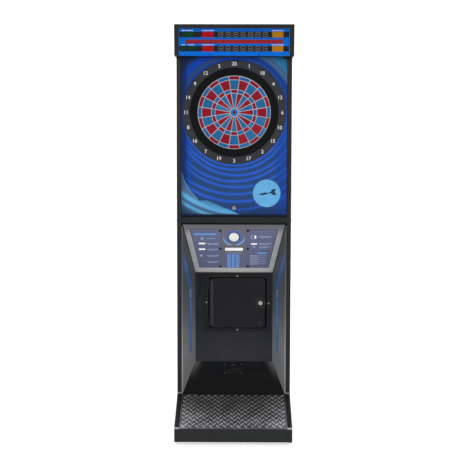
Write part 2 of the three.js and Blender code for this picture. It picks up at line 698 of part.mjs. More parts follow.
function addSegmentRing(name, [inner, outer], material) {
  const hole = circle(0, BULL_Z, inner + 1, SECTORS);
  const film = frontSlab(circle(0, BULL_Z, outer - 1, SECTORS), FILM_Y[0], FILM_Y[1], [hole]);
  const parts = [film];
  for (let sector = 0; sector < SECTORS; sector += 1) {
    parts.push(frontSlab(wedgeOutline(inner, outer, sector, CLEAR), SEGMENT_Y, FILM_Y[0] + 0.5));
  }
  addMesh(name, union(parts), material);
}

function addTarget() {
  const numberRing = [
    [CATCH_RING_R + CLEAR, -50.2], [NUMBER_RING_R, -50.2], [NUMBER_RING_R, -51.4], [NUMBER_RING_R - 2, -53],
    [CATCH_RING_R + 2, -53], [CATCH_RING_R + CLEAR, -51.5], [CATCH_RING_R + CLEAR, -50.2],
  ];
  addMesh('number_ring', turnedAboutBull(numberRing, ROUND), RING_GREY);
  const catchRing = [
    [TARGET_R + CLEAR, -50], [TARGET_R + 3, -52.5], [CATCH_RING_R - 2, -52.5], [CATCH_RING_R, -51],
    [CATCH_RING_R, -50.2], [230, -50.2], [230, -12], [226, -12], [226, -44], [TARGET_R + CLEAR, -46.5],
    [TARGET_R + CLEAR, -50],
  ];
  addMesh('catch_ring', turnedAboutBull(catchRing, ROUND), RUBBER);
  addWeb();
  addSegmentRing('double_segments', DOUBLE_R, SEGMENT_RED);
  addSegmentRing('outer_single_segments', OUTER_SINGLE_R, SEGMENT_BLUE);
  addSegmentRing('triple_segments', TRIPLE_R, SEGMENT_RED);
  addSegmentRing('inner_single_segments', INNER_SINGLE_R, SEGMENT_BLUE);
  const outerFlange = OUTER_BULL_R[1] + BULL_FLANGE;
  const innerFlange = INNER_BULL_R + BULL_FLANGE;
  const outerBull = [
    [OUTER_BULL_R[0], -46], [OUTER_BULL_R[0], -32.5], [outerFlange, -32.5], [outerFlange, -34],
    [OUTER_BULL_R[1], -34],
    [OUTER_BULL_R[1], -46], [OUTER_BULL_R[0], -46],
  ];
  addMesh('outer_bull', turnedAboutBull(outerBull, 32), SEGMENT_BLUE);
  const innerBull = [
    [0, -32.5], [innerFlange, -32.5], [innerFlange, -34], [INNER_BULL_R, -34], [INNER_BULL_R, -46.4],
    [0, -46.4],
  ];
  addMesh('inner_bull', turnedAboutBull(innerBull, 24), SEGMENT_RED);
  addMesh('sensor_matrix', rodY(0, BULL_Z, 225, -30.6, -29.4, ROUND), CLEAR_FILM);
  addMesh('rubber_pad', rodY(0, BULL_Z, 225, -29.2, -23.4, ROUND), RUBBER);
  addMesh('target_back_plate', rodY(0, BULL_Z, 225, -23, -12.2, ROUND), BLACK_TRIM);
  const board = union([
    box([-80, -10.4, BULL_Z - 60], [80, -8.8, BULL_Z + 60]),
    box([-30, -9, BULL_Z - 12], [12, -5, BULL_Z + 12]),
    box([-72, -9, BULL_Z - 50], [-62, -1, BULL_Z + 50]),
    box([62, -9, BULL_Z - 50], [72, -1, BULL_Z + 50]),
    box([20, -9, BULL_Z + 20], [48, -4, BULL_Z + 34]),
  ]);
  const corners = [[-70, -55], [70, -55], [-70, 55], [70, 55]];
  const posts = corners.map(([x, z]) => rodY(x, BULL_Z + z, 4, -12.1, -10, 8));
  addMesh('matrix_board', union([board, ...posts]), CIRCUIT);
}

// ---------------------------------------------------------------- score header
function addHeaderShell() {
  const outer = sideSlab([
    [HEADER_LOW_Y, HEADER_Z],
    [HEADER_BACK_Y, HEADER_Z],
    [HEADER_BACK_Y, HEADER_TOP_Z],
    [HEADER_HIGH_Y, HEADER_TOP_Z],
  ], -HEADER_W / 2, HEADER_W / 2);
  const wall = HEADER_WALL;
  const cavity = box(
    [-HEADER_W / 2 + wall, -112, HEADER_Z + wall],
    [HEADER_W / 2 - wall, HEADER_BACK_Y - wall, HEADER_TOP_Z - wall],
  );
  const window = slab(rectangle(0, 75.5, HEADER_FACE_W + 2 * CLEAR, 134), -40, 10);
  const rebateOutline = rectangle(0, HEADER_FACE_H / 2 - 1.5, HEADER_FACE_W + 2 * CLEAR, HEADER_FACE_H + 3.6);
  const rebate = slab(rebateOutline, -4.3, 10);
  for (const tool of [window, rebate]) {
    tool.rotateX(HEADER_TILT).translate(0, HEADER_LOW_Y, HEADER_Z);
  }
  addMesh('header_housing', cut(outer, [cavity, window, rebate]), BLACK_LAMINATE);
}

function addHeaderFace(header) {
  const windows = [
    rectangle(0, MESSAGE_S, MESSAGE_W + 1, MESSAGE_H + 1),
  ];
  const digitsX = DIGIT_FIRST_X + ((DIGITS - 1) / 2) * DIGIT_PITCH;
  for (const s of [UPPER_ROW_S, LOWER_ROW_S]) {
    windows.push(rectangle(digitsX, s, DIGITS * DIGIT_PITCH + 2, LENS_H + 1));
  }
  for (const [x, w] of UPPER_LENSES) {
    windows.push(rectangle(x, UPPER_ROW_S, w + 1, LENS_H + 1));
  }
  for (const [x, w] of LOWER_LENSES) {
    windows.push(rectangle(x, LOWER_ROW_S, w + 1, LENS_H + 1));
  }
  const outline = rectangle(0, HEADER_FACE_H / 2 + 0.2, HEADER_FACE_W, HEADER_FACE_H - 0.4);
  const cutters = windows.map((window) => slab(window, -2 - HEADER_FACE_T, 0));
  addMesh('header_face', cut(slab(outline, -1 - HEADER_FACE_T, -1), cutters), HEADER_BLUE, header);
}

function addDisplays(header) {
  const digitsX = DIGIT_FIRST_X + ((DIGITS - 1) / 2) * DIGIT_PITCH;
  const digitsW = DIGITS * DIGIT_PITCH;
  const rows = [['upper', UPPER_ROW_S, UPPER_LENSES], ['lower', LOWER_ROW_S, LOWER_LENSES]];
  for (const [name, s, lenses] of rows) {
    const strip = [
      slab(rectangle(-7, s, 560, LENS_H + 3.4), -7.6, -4.4, [rectangle(digitsX, s, digitsW - 2, LENS_H)]),
    ];
    for (const [x, w] of lenses) {
      strip.push(slab(rectangle(x, s, w, LENS_H), -5, -0.4));
    }
    addMesh(`lamp_lens_strip_${name}`, union(strip), LENS_RED, header);

    const board = [slab(rectangle(digitsX, s, digitsW + 8, 34), -18, -16.4)];
    for (let i = 0; i < DIGITS; i += 1) {
      const x = DIGIT_FIRST_X + i * DIGIT_PITCH;
      board.push(slab(rectangle(x, s, DIGIT_W, DIGIT_H - 0.6), -17, -5));
    }
    addMesh(`score_display_${name}`, union(board), HEADER_BLACK, header);
  }
  const message = union([
    slab(rectangle(0, MESSAGE_S, MESSAGE_W, MESSAGE_H), -12, -1.6),
    slab(rectangle(0, MESSAGE_S, MESSAGE_W + 6, MESSAGE_H + 14), -13.6, -11.6),
  ]);
  addMesh('message_display', message, LENS_RED, header);
}

function addHeader() {
  addHeaderShell();
  const header = new THREE.Group();
  header.name = 'score_header';
  header.position.set(0, HEADER_LOW_Y, HEADER_Z);
  header.rotation.x = HEADER_TILT;
  group.add(header);
  addHeaderFace(header);
  addDisplays(header);
}

// ---------------------------------------------------------------- electronics inside
function addElectronics() {
  const mainBoard = union([
    box([-150, 334.2, 1500], [90, 335.8, 1680]),
    box([-120, 328, 1570], [-80, 334.6, 1610]),
    box([-50, 330, 1540], [-20, 334.6, 1600]),
    box([20, 326, 1520], [80, 334.6, 1532]),
    box([20, 326, 1650], [80, 334.6, 1662]),
    box([-146, 335, 1504], [-138, 337.8, 1512]),
    box([78, 335, 1668], [86, 337.8, 1676]),
  ]);
  addMesh('main_board', mainBoard, CIRCUIT);
}

addSide('left', -BODY_W / 2, -INNER_X);
addSide('right', INNER_X, BODY_W / 2);
addCarcassBoards();
addFeet();
addTreadPlate();
addRecess();
addControlPanel();
addCoinDoor();
addHeadDoor();
addTarget();
addHeader();
addElectronics();

export default group;
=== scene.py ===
"""Looks of a floor-standing electronic dart machine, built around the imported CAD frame.

Shapes are given in millimetres, and Part.add() converts them; materials and the studio are in metres.
X is to the viewer's right, +Y away from the viewer, +Z up.
"""
from functools import partial
from math import acos, asin, copysign, cos, degrees, hypot, pi, radians, sin, tan

import bpy
from mathutils import Matrix, Vector, geometry


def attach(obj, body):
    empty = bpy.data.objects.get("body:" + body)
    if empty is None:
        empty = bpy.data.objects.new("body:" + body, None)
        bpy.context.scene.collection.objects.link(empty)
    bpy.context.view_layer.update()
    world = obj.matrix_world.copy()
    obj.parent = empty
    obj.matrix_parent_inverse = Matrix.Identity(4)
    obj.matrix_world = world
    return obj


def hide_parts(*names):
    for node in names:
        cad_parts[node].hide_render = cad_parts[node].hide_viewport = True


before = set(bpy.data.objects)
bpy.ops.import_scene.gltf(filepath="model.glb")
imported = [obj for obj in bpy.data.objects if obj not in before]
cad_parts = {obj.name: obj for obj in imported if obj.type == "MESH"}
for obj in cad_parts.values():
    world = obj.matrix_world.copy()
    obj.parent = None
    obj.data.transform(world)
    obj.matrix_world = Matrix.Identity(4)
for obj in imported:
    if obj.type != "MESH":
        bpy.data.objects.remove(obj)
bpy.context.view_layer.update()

MM = 0.001


# ---------------------------------------------------------------- flat outlines
def spot(cx, cy, radius, angle):
    """Point at a radius from a centre; the angle is in radians, anticlockwise from the right."""
    return (cx + radius * cos(angle), cy + radius * sin(angle))


def circle(cx, cy, radius, steps, start=0):
    """Anticlockwise circle as a list of points."""
    return [spot(cx, cy, radius, start + 2 * pi * i / steps) for i in range(steps)]


def rectangle(cx, cy, width, height):
    x, y = width / 2, height / 2
    return [(cx - x, cy - y), (cx + x, cy - y), (cx + x, cy + y), (cx - x, cy + y)]


def rounded(cx, cy, width, height, radius, steps=6):
    """Rectangle with rounded corners, anticlockwise from the lower right corner."""
    points = []
    for sx, sy, start in ((1, -1, -90), (1, 1, 0), (-1, 1, 90), (-1, -1, 180)):
        x = cx + sx * (width / 2 - radius)
        y = cy + sy * (height / 2 - radius)
        points += [spot(x, y, radius, radians(start + 90 * i / steps)) for i in range(steps + 1)]
    return points


def area(points):
    pairs = zip(points, points[1:] + points[:1])
    return sum(a[0] * b[1] - b[0] * a[1] for a, b in pairs) / 2


def wound(points, anticlockwise=True):
    return points if (area(points) > 0) == anticlockwise else points[::-1]


def offset(points, distance):
    """Anticlockwise outline moved inward by a distance, with mitred corners."""
    if distance == 0:
        return list(points)
    count = len(points)
    normals = []
    for i in range(count):
        dx = points[(i + 1) % count][0] - points[i][0]
        dy = points[(i + 1) % count][1] - points[i][1]
        length = hypot(dx, dy)
        normals.append((-dy / length, dx / length))
    moved = []
    for i in range(count):
        a, b = normals[i - 1], normals[i]
        scale = distance / max(1 + a[0] * b[0] + a[1] * b[1], 0.3)
        moved.append((points[i][0] + scale * (a[0] + b[0]), points[i][1] + scale * (a[1] + b[1])))
    return moved


def lifted(outline, z):
    """Flat outline as 3-D points at one height."""
    return [(x, y, z) for x, y in outline]


def rolled(outline, high, edge, steps):
    """Rings of a rounded edge that ends at a height, inset as they rise."""
    rings = []
    for i in range(steps + 1):
        a = pi / 2 * i / steps
        rings.append(lifted(offset(outline, edge * (1 - cos(a))), high - edge + edge * sin(a)))
    return rings


# ---------------------------------------------------------------- local frames
def placed(origin, x_axis, y_axis):
    """Matrix of a local frame whose z axis points out of the surface."""
    x, y = Vector(x_axis).normalized(), Vector(y_axis).normalized()
    matrix = Matrix((x, y, x.cross(y))).transposed().to_4x4()
    matrix.translation = Vector(origin)
    return matrix


WORLD = Matrix.Identity(4)
FRONT = placed((0, 0, 0), (1, 0, 0), (0, 0, 1))
BACK = placed((0, 350, 0), (-1, 0, 0), (0, 0, 1))
PANEL = placed((0, -50, 1132), (1, 0, 0), (0, -160, 287))
HEADER = placed((0, -125, 2020), (1, 0, 0), (0, -18, 163))
RAMP = placed((0, -50, 202), (1, 0, 0), (0, 160, 144))
TREAD = placed((0, -350, 90.8), (1, 0, 0), (0, 300, 109))
LEFT_WALL = placed((-277, -50, 0), (63, 160, 0), (0, 0, 1))
RIGHT_WALL = placed((277, -50, 0), (63, -160, 0), (0, 0, 1))
LEFT_SIDE = placed((-307, 0, 0), (0, -1, 0), (0, 0, 1))
RIGHT_SIDE = placed((307, 0, 0), (0, 1, 0), (0, 0, 1))


# ---------------------------------------------------------------- pieces
SCREW_RINGS = ((1, 0, 0), (1, 0.25, 0), (0.93, 0.55, 0), (0.75, 0.82, 0), (0.58, 0.95, 0),
               (0.5, 1, 1), (0.46, 0.97, 1), (0.44, 0.45, 1))  # share of radius, share of height, hexagonal


class Part:
    """One piece: vertices and faces gathered in local frames, then built as one mesh."""

    def __init__(self, name, materials, at, slot=None, *nodes, body="cabinet"):
        """The slot argument is not used. The piece stands for the named CAD nodes."""
        self.name, self.body, self.materials = name, body, materials
        self.at, self.slot_name, self.nodes = at, slot, nodes
        self.verts, self.faces, self.slots = [], [], []

    def add(self, verts, faces, slot=0, place=None):
        base = len(self.verts)
        matrix = self.at @ place if place else self.at
        self.verts += [(matrix @ Vector(v)) * MM for v in verts]
        self.faces += [[base + i for i in face] for face in faces]
        self.slots += [slot] * len(faces)

    def loft(self, rings, slot=0, place=None, cap_start=True, cap_end=True):
        """Skin through rings of equal length, each a list of 3-D points, outward facing."""
        count, last = len(rings[0]), (len(rings) - 1) * len(rings[0])
        faces = []
        for row in range(0, last, count):
            for i in range(count):
                j = (i + 1) % count
                faces.append([row + i, row + j, row + count + j, row + count + i])
        if cap_start:
            faces.append(list(range(count))[::-1])
        if cap_end:
            faces.append([last + i for i in range(count)])
        self.add([point for ring in rings for point in ring], faces, slot, place)

    def slab(self, outline, low, high, edge=0, slot=0, steps=1):
        """Outline pulled from low to high, with its upper edge rounded off by edge."""
        outline = wound(outline)
        upper = rolled(outline, high, edge, steps) if edge else [lifted(outline, high)]
        self.loft([lifted(outline, low)] + upper, slot)

    def turn(self, profile, centre=(0, 0), steps=48, slot=0, place=None):
        """Profile of (radius, height) pairs, listed bottom outside to top centre, turned about z."""
        cx, cy = centre
        verts, rows = [], []
        for radius, z in profile:
            if radius == 0:
                rows.append([len(verts)])
                verts.append((cx, cy, z))
            else:
                rows.append(list(range(len(verts), len(verts) + steps)))
                verts += lifted(circle(cx, cy, radius, steps), z)
        faces = []
        for a, b in zip(rows, rows[1:]):
            for i in range(steps):
                j = (i + 1) % steps
                if len(a) == 1:
                    faces.append([a[0], b[j], b[i]])
                elif len(b) == 1:
                    faces.append([a[i], a[j], b[0]])
                else:
                    faces.append([a[i], a[j], b[j], b[i]])
        self.add(verts, faces, slot, place)

    def hoop(self, profile, centre, steps, slot=0):
        """Closed profile turned about z, for rings with a hole."""
        self.turn(profile + profile[:1], centre, steps, slot)

    def flat(self, loops, z, sign, slot):
        """Flat face with holes, facing up or down by sign; returns its loops as 3-D points."""
        flat = [lifted(loop, z) for loop in loops]
        points = [point for loop in flat for point in loop]
        triangles = geometry.tessellate_polygon([[Vector(p) for p in loop] for loop in flat])
        self.add(points, [facing(t, points, sign) for t in triangles], slot)
        return flat

    def plate(self, outer, holes, low, high, edge=0, slot=0, floor=None, through=0):
        """Closed plate with holes through it. With a floor, the holes after the first few are only
        sunk to it and their floors take the second material."""
        outer = wound(outer)
        holes = [wound(hole, False) for hole in holes]
        top = self.flat([offset(outer, edge)] + [grown(hole, edge) for hole in holes], high, 1, slot)
        for index, outline in enumerate([outer] + holes):
            sunk = index > through and floor is not None
            rings = [lifted(outline, floor if sunk else low)]
            if edge:
                rings.append(lifted(outline, high - edge))
            self.loft(rings + [top[index]], slot, None, False, False)
            if sunk:
                self.add(lifted(outline, floor)[::-1], [range(len(outline))], 1)
        self.flat([outer] if floor is not None else [outer] + holes, low, -1, slot)

    def screw(self, x, y, z, radius, height, slot=0):
        """Button-head screw with a hexagonal socket."""
        steps, sixth = 24, pi / 3
        rings = []
        for share, rise, hexagon in SCREW_RINGS:
            ring = []
            for i in range(steps):
                a = 2 * pi * i / steps
                stretch = 1 / cos((a + sixth / 2) % sixth - sixth / 2) if hexagon else 1
                ring.append((*spot(x, y, radius * share * stretch, a), z + height * rise))
            rings.append(ring)
        self.loft(rings, slot)

    def build(self, smooth):
        """Make the object; edges sharper than the smooth angle in degrees stay sharp."""
        mesh = bpy.data.meshes.new(self.name)
        mesh.from_pydata(self.verts, [], self.faces)
        for material in self.materials:
            mesh.materials.append(material)
        mesh.polygons.foreach_set("material_index", self.slots)
        mesh.shade_smooth()
        mesh.set_sharp_from_angle(angle=radians(smooth))
        mesh.validate()
        piece = bpy.data.objects.new(self.name, mesh)
        bpy.context.scene.collection.objects.link(piece)
        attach(piece, self.body)
        if self.nodes:
            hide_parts(*self.nodes)


def grown(hole, distance):
    """Clockwise hole outline made larger by a distance."""
    return offset(hole[::-1], -distance)[::-1]


def facing(triangle, points, sign):
    """Triangle ordered so that its normal's z has the given sign."""
    a, b, c = (points[i] for i in triangle)
    cross = (b[0] - a[0]) * (c[1] - a[1]) - (b[1] - a[1]) * (c[0] - a[0])
    return list(triangle) if cross * sign > 0 else list(triangle)[::-1]


# ---------------------------------------------------------------- materials
WORN_WIDTH = 0.0012  # metres from an edge to where its wear ends


def linear(color):
    """8-bit display colour as linear light with full alpha."""
    shares = [c / 255 for c in color]
    return [c / 12.92 if c <= 0.04045 else ((c + 0.055) / 1.055) ** 2.4 for c in shares] + [1]


class Graph:
    """A node material written as nested calls; every texture reads object coordinates in metres."""

    def __init__(self, name):
        self.material = bpy.data.materials.new(name)
        self.material.use_nodes = True
        self.tree = self.material.node_tree
        self.tree.nodes.clear()
        self.shader = self.node("ShaderNodeBsdfPrincipled")
        self.node("ShaderNodeOutputMaterial", {0: self.shader.outputs[0]})
        self.coords = self.node("ShaderNodeTexCoord").outputs["Object"]

    def node(self, kind, inputs=None, **settings):
        """New node with its settings made first, then its inputs by name or index."""
        made = self.tree.nodes.new(kind)
        for key, value in settings.items():
            setattr(made, key, value)
        for key, value in (inputs or {}).items():
            self.feed(made.inputs[key], value)
        return made

    def feed(self, socket, value):
        """Link or set a socket; a tuple is an 8-bit display colour."""
        if isinstance(value, bpy.types.NodeSocket):
            self.tree.links.new(value, socket)
        else:
            socket.default_value = linear(value) if isinstance(value, tuple) else value

    def set(self, **inputs):
        for key, value in inputs.items():
            self.feed(self.shader.inputs[key.replace("_", " ")], value)

    def math(self, operation, a, b=0, c=0, clamp=False):
        made = self.node("ShaderNodeMath", {0: a, 1: b, 2: c}, operation=operation, use_clamp=clamp)
        return made.outputs[0]

    def add(self, a, b):
        return self.math("ADD", a, b)

    def sub(self, a, b):
        return self.math("SUBTRACT", a, b)

    def mul(self, a, b):
        return self.math("MULTIPLY", a, b)

    def fma(self, a, b, c):
        """a times b plus c."""
        return self.math("MULTIPLY_ADD", a, b, c)

    def length(self, a, b):
        return self.math("SQRT", self.add(self.mul(a, a), self.mul(b, b)))

    def axis(self, letter):
        return self.node("ShaderNodeSeparateXYZ", {0: self.coords}).outputs["XYZ".index(letter)]

    def stretched(self, scale, turn=(0, 0, 0)):
        inputs = {"Vector": self.coords, "Scale": list(scale), "Rotation": list(turn)}
        return self.node("ShaderNodeMapping", inputs).outputs[0]

    def noise(self, scale, detail=3, roughness=0.55, stretch=(1, 1, 1), turn=(0, 0, 0)):
        inputs = {"Vector": self.stretched(stretch, turn), "Scale": scale, "Detail": detail,
                  "Roughness": roughness}
        return self.node("ShaderNodeTexNoise", inputs).outputs["Fac"]

    def spread(self, value, low, high, to_low=0, to_high=1):
        """Smooth step from to_low to to_high as the value goes from low to high."""
        inputs = {0: value, 1: low, 2: high, 3: to_low, 4: to_high}
        return self.node("ShaderNodeMapRange", inputs, interpolation_type="SMOOTHSTEP").outputs[0]

    def ramp(self, value, stops):
        made = self.node("ShaderNodeValToRGB", {0: value})
        elements = made.color_ramp.elements
        while len(elements) < len(stops):
            elements.new(0.5)
        for element, (position, color) in zip(elements, stops):
            element.position = position
            element.color = linear(color)
        return made.outputs[0]

    def mix(self, factor, a, b, blend="MIX"):
        made = self.node("ShaderNodeMix", {0: factor, 6: a, 7: b}, data_type="RGBA", blend_type=blend)
        return made.outputs[2]

    def shaded(self, color, factor):
        """Colour multiplied by a grey factor socket."""
        grey = self.node("ShaderNodeCombineColor", {0: factor, 1: factor, 2: factor})
        return self.mix(1, color, grey.outputs[0], "MULTIPLY")

    def raise_by(self, height, strength, depth):
        bump = self.node("ShaderNodeBump", {"Strength": strength, "Distance": depth, "Height": height})
        self.set(Normal=bump.outputs[0])

    def edges(self):
        """1 along sharp convex edges, 0 on flat faces."""
        bevel = self.node("ShaderNodeBevel", {"Radius": WORN_WIDTH}, samples=6)
        flat = self.node("ShaderNodeNewGeometry")
        dot = self.node("ShaderNodeVectorMath", {0: bevel.outputs[0], 1: flat.outputs["Normal"]},
                        operation="DOT_PRODUCT")
        return self.spread(dot.outputs["Value"], 0.97, 0.8)


def finish(name, color, rough=0.5, metal=0, specular=0.3, mottle=0.1, grain=1400, speckle=0.12, relief=0.25,
           stretch=(1, 1, 1), scuffs=0.12, worn=None, worn_amount=0.5, coat=0):
    """A surface with cloudy colour, fine grain, scuffs, worn edges and matching roughness.

    color and worn are 8-bit colours; color may also be a function that draws its own nodes.
    """
    g = Graph(name)
    clouds = g.noise(9, 4, 0.6)
    fine = g.noise(grain, 2, 0.6, stretch)
    factor = g.add(g.spread(clouds, 0.3, 0.7, 1 - mottle, 1 + mottle),
                   g.spread(fine, 0.25, 0.75, -speckle, speckle))
    base = g.shaded(color(g) if callable(color) else color, factor)
    marks = g.spread(g.noise(60, 6, 0.75, (1, 1, 0.12), (0.3, 0.2, 0.4)), 0.6, 0.75)
    if worn:
        edge = g.mul(g.edges(), g.spread(g.noise(140, 5, 0.7), 0.35, 0.62))
        base = g.mix(g.mul(edge, worn_amount), base, worn)
    roughness = g.math("ADD", g.fma(marks, scuffs, rough - 0.03), g.spread(fine, 0.2, 0.8, -0.05, 0.05),
                       clamp=True)
    g.set(Base_Color=base, Roughness=roughness, Metallic=metal, Specular_IOR_Level=specular,
          Coat_Weight=coat, Coat_Roughness=0.08)
    g.raise_by(fine, relief, 0.0003)
    return g.material


def fade(low, high, *stops):
    """Colour that changes with height between two levels in metres."""
    return lambda g: g.ramp(g.spread(g.axis("Z"), low, high), stops)


def printed_art(g):
    """Printed door face: bright arcs on slate below the target, broad bands above it, one pale sweep, and
    painted shade near the left edge.
    """
    x = g.axis("X")
    z = g.sub(g.axis("Z"), 1.727)
    drift = g.sub(g.noise(5, 2, 0.5), 0.5)
    inner, span = 0.26, 0.34

    def reach(cx, cz):
        return g.length(g.sub(x, cx), g.sub(z, cz))

    def banded(centre, bend, stops):
        """Colour by distance from a centre; each stop is (radius in millimetres, colour)."""
        bent = g.fma(drift, bend, reach(*centre))
        share = g.math("DIVIDE", g.sub(bent, inner), span)
        return g.ramp(share, [((radius * MM - inner) / span, color) for radius, color in stops])

    def arcs(centre, radii):
        stops = [(260, slate)]
        for radius in radii:
            for edge, color in ((-9, slate), (-4.5, bright), (4.5, bright), (9, slate)):
                stops.append((radius + edge, color))
        return banded(centre, 0.006, stops + [(600, slate)])

    slate, bright, deep = (39, 69, 118), (27, 89, 190), (8, 62, 162)
    ground = arcs((0, 0), (280, 304, 366, 436, 521))
    ground = g.mix(1, ground, arcs((0.0113, -0.0041), (330, 394, 472)), "LIGHTEN")
    side = g.spread(g.math("ABSOLUTE", x), 0.205, 0.250, 0, 0.5)
    ground = g.mix(side, ground, deep)
    left = banded((0, 0), 0.02, [(276, deep), (284, deep), (292, (46, 68, 108)), (300, (44, 64, 104)),
                                 (311, deep), (336, deep), (350, (28, 50, 84)), (366, (18, 36, 68)),
                                 (382, (10, 32, 88)), (400, (8, 26, 74))])
    right = banded((0, 0), 0.02, [(278, (40, 56, 88)), (288, (24, 66, 152)), (302, (16, 52, 118)),
                                  (312, (26, 68, 152)), (319, (60, 94, 134)), (328, (70, 98, 134)),
                                  (338, (60, 86, 118)), (347, (48, 104, 148)), (354, (46, 114, 162)),
                                  (364, (38, 96, 136)), (376, (36, 104, 152)), (386, (32, 86, 122)),
                                  (400, (32, 62, 90))])
    upper = g.mix(g.spread(x, 0.03, 0.09), left, right)
    ground = g.mix(g.spread(z, -0.02, 0.08), ground, upper)

    # Painted shade: the art darkens towards the door's left edge.
    ground = g.mix(g.spread(x, -0.240, -0.268, 0, 0.75), ground, (10, 30, 70))
    ground = g.mix(g.spread(z, -0.48, -0.53, 0, 0.45), ground, (14, 34, 84))

    away = g.sub(reach(-0.0062, -0.2497), 0.280)
    corner = g.mul(g.spread(x, -0.190, -0.196), g.spread(z, -0.30, -0.31))
    high_lobe = g.mul(g.spread(away, 0, 0.003), corner)
    slope = g.fma(x, 0.425, z)
    low_lobe = g.mul(g.spread(slope, -0.530, -0.533), g.spread(z, -0.469, -0.472))
    across = g.sub(reach(0.0304, -0.0038), 0.5289)
    share = g.fma(g.fma(drift, 0.012, across), 1 / 0.16, 0.5)
    pale, grey = (92, 170, 220), (66, 94, 126)
    sweep = g.ramp(share, [
        (0, (60, 90, 122)), (0.2, (72, 102, 134)), (0.34, (80, 106, 140)), (0.40, (78, 108, 142)),
        (0.45, (94, 156, 196)), (0.5, pale), (0.54, pale), (0.58, (88, 142, 186)), (0.625, grey),
        (0.68, (72, 104, 138)), (0.72, (84, 154, 200)), (0.77, (84, 152, 198)), (0.84, (56, 84, 112)),
        (0.92, (44, 72, 100)), (1, (32, 54, 78))])
    sweep = g.mix(g.spread(away, 0.010, 0.004, 0, 0.5), sweep, (70, 150, 196))
    # Painted shade: the sweep darkens towards the door's left edge.
    sweep = g.mix(g.spread(x, -0.250, -0.278, 0, 0.45), sweep, (20, 50, 80))
    ground = g.mix(g.math("MAXIMUM", high_lobe, low_lobe), ground, sweep)
    return g.mix(g.spread(z, -0.538, -0.548), ground, (16, 26, 48))


def ramp_painted_reflections(g):
    """Gloss black with a painted sheen that greys it towards its top edge, and a painted reflection of the
    walls near its sides.
    """
    # lean is the painted sheen: darker at the foot, paler at the top edge.
    lean = g.spread(g.axis("Z"), 0.25, 0.35)
    wall_reflection_mask = g.spread(g.fma(g.axis("Y"), 0.40, g.math("ABSOLUTE", g.axis("X"))), 0.19, 0.262)
    tone = g.mix(lean, (16, 17, 18), (31, 32, 33))
    return g.mix(g.mul(g.math("POWER", wall_reflection_mask, 2), lean), tone, (104, 104, 104))


def moulding_tone(g):
    """Black plastic moulding, paler in spots at the two front bends."""
    paler = 0
    for bend_y, bend_z in ((-0.35, 0.093), (-0.05, 0.202)):
        reach = g.length(g.sub(g.axis("Y"), bend_y), g.sub(g.axis("Z"), bend_z))
        paler = g.math("MAXIMUM", paler, g.spread(reach, 0.003, 0.009, 1, 0))
    broken = g.mul(paler, g.spread(g.noise(180, 4, 0.7), 0.3, 0.55, 0.45, 1))
    return g.mix(broken, (25, 26, 29), (190, 188, 182))


def board_grain(g):
    """Pressed board: pale and dark fibres."""
    fibres = g.noise(260, 5, 0.7, (1, 1, 0.35))
    return g.ramp(fibres, [(0.25, (74, 56, 38)), (0.5, (116, 92, 64)), (0.75, (150, 124, 90))])


def circuit_color(g):
    """Solder mask with paler copper tracks below it."""
    brick = g.node("ShaderNodeTexBrick", {
        "Vector": g.stretched((1, 1, 1), (pi / 2, 0, 0)), "Scale": 60, "Mortar Size": 0.03,
        "Brick Width": 0.9, "Row Height": 0.22})
    return g.mix(brick.outputs["Fac"], (20, 78, 44), (58, 128, 76))


def tread_painted_light(*stops):
    """Colour that grows paler from the top of the tread plate to its front edge and to both sides: painted
    light and shade, with cloudy noise.
    """
    def color(g):
        front = g.spread(g.axis("Y"), -0.10, -0.34, 0, 0.45)
        side = g.spread(g.math("ABSOLUTE", g.axis("X")), 0.12, 0.28, 0, 0.18)
        return g.ramp(g.mul(g.add(g.add(front, side), g.noise(14, 4, 0.6)), 0.7), stops)
    return color


# The laminate is paler near the floor. Painted shade: the recess walls and back panel are paler towards their
# foot and darker higher up.
laminate_tone = fade(0.1, 0.3, (0, (35, 36, 37)), (1, (28, 29, 31)))
recess_back_painted_shade = fade(0.36, 0.62, (0, (47, 48, 50)), (1, (28, 29, 31)))
wall_painted_shade = fade(0.36, 1, (0, (148, 149, 151)), (0.3, (116, 119, 123)), (0.6, (92, 96, 101)),
                 (1, (76, 80, 82)))
# Painted light and shade on the bezel: pale along its bottom bar, darker towards its top bar.
silver_painted_light = fade(0.85, 1.13, (0, (176, 175, 178)), (0.12, (166, 165, 169)), (0.88, (156, 155, 159)),
                   (1, (94, 94, 99)))
header_tone = fade(2.03, 2.17, (0, (0, 101, 202)), (1, (0, 82, 168)))
# Painted light and shade on the tread plate; its bars take a paler painted highlight.
tread_tone = tread_painted_light((0.25, (52, 52, 53)), (0.55, (76, 75, 78)), (0.95, (150, 150, 158)))
bar_highlight_tone = tread_painted_light((0.25, (138, 135, 132)), (0.5, (188, 186, 185)), (0.9, (254, 254, 255)))

# Groups of materials that share most of their settings
brushed = partial(finish, metal=0.9, specular=0.5, mottle=0.06, grain=500, speckle=0.14, relief=0.2,
                  scuffs=0.1, worn=(200, 200, 200), worn_amount=0.35)
plastic = partial(finish, rough=0.4, specular=0.2, grain=1700, relief=0.12, worn=(78, 78, 82),
                  worn_amount=0.3)
coated = partial(finish, grain=900, speckle=0.16, relief=0.4)
alloy = partial(finish, specular=0.3, mottle=0.1, grain=900, scuffs=0.15)
overlay = partial(finish, rough=0.46, mottle=0.05, grain=2200)
badge_print = partial(finish, rough=0.34, mottle=0.05, grain=1800, speckle=0.05)
segment = partial(finish, rough=0.45, specular=0.2, mottle=0.07, grain=1500, speckle=0.07, relief=0.2)
decal = partial(finish, rough=0.4, specular=0.25, grain=1800, speckle=0.08)
lens = partial(finish, rough=0.3, specular=0.1, mottle=0.07, relief=0.05, coat=0.04)

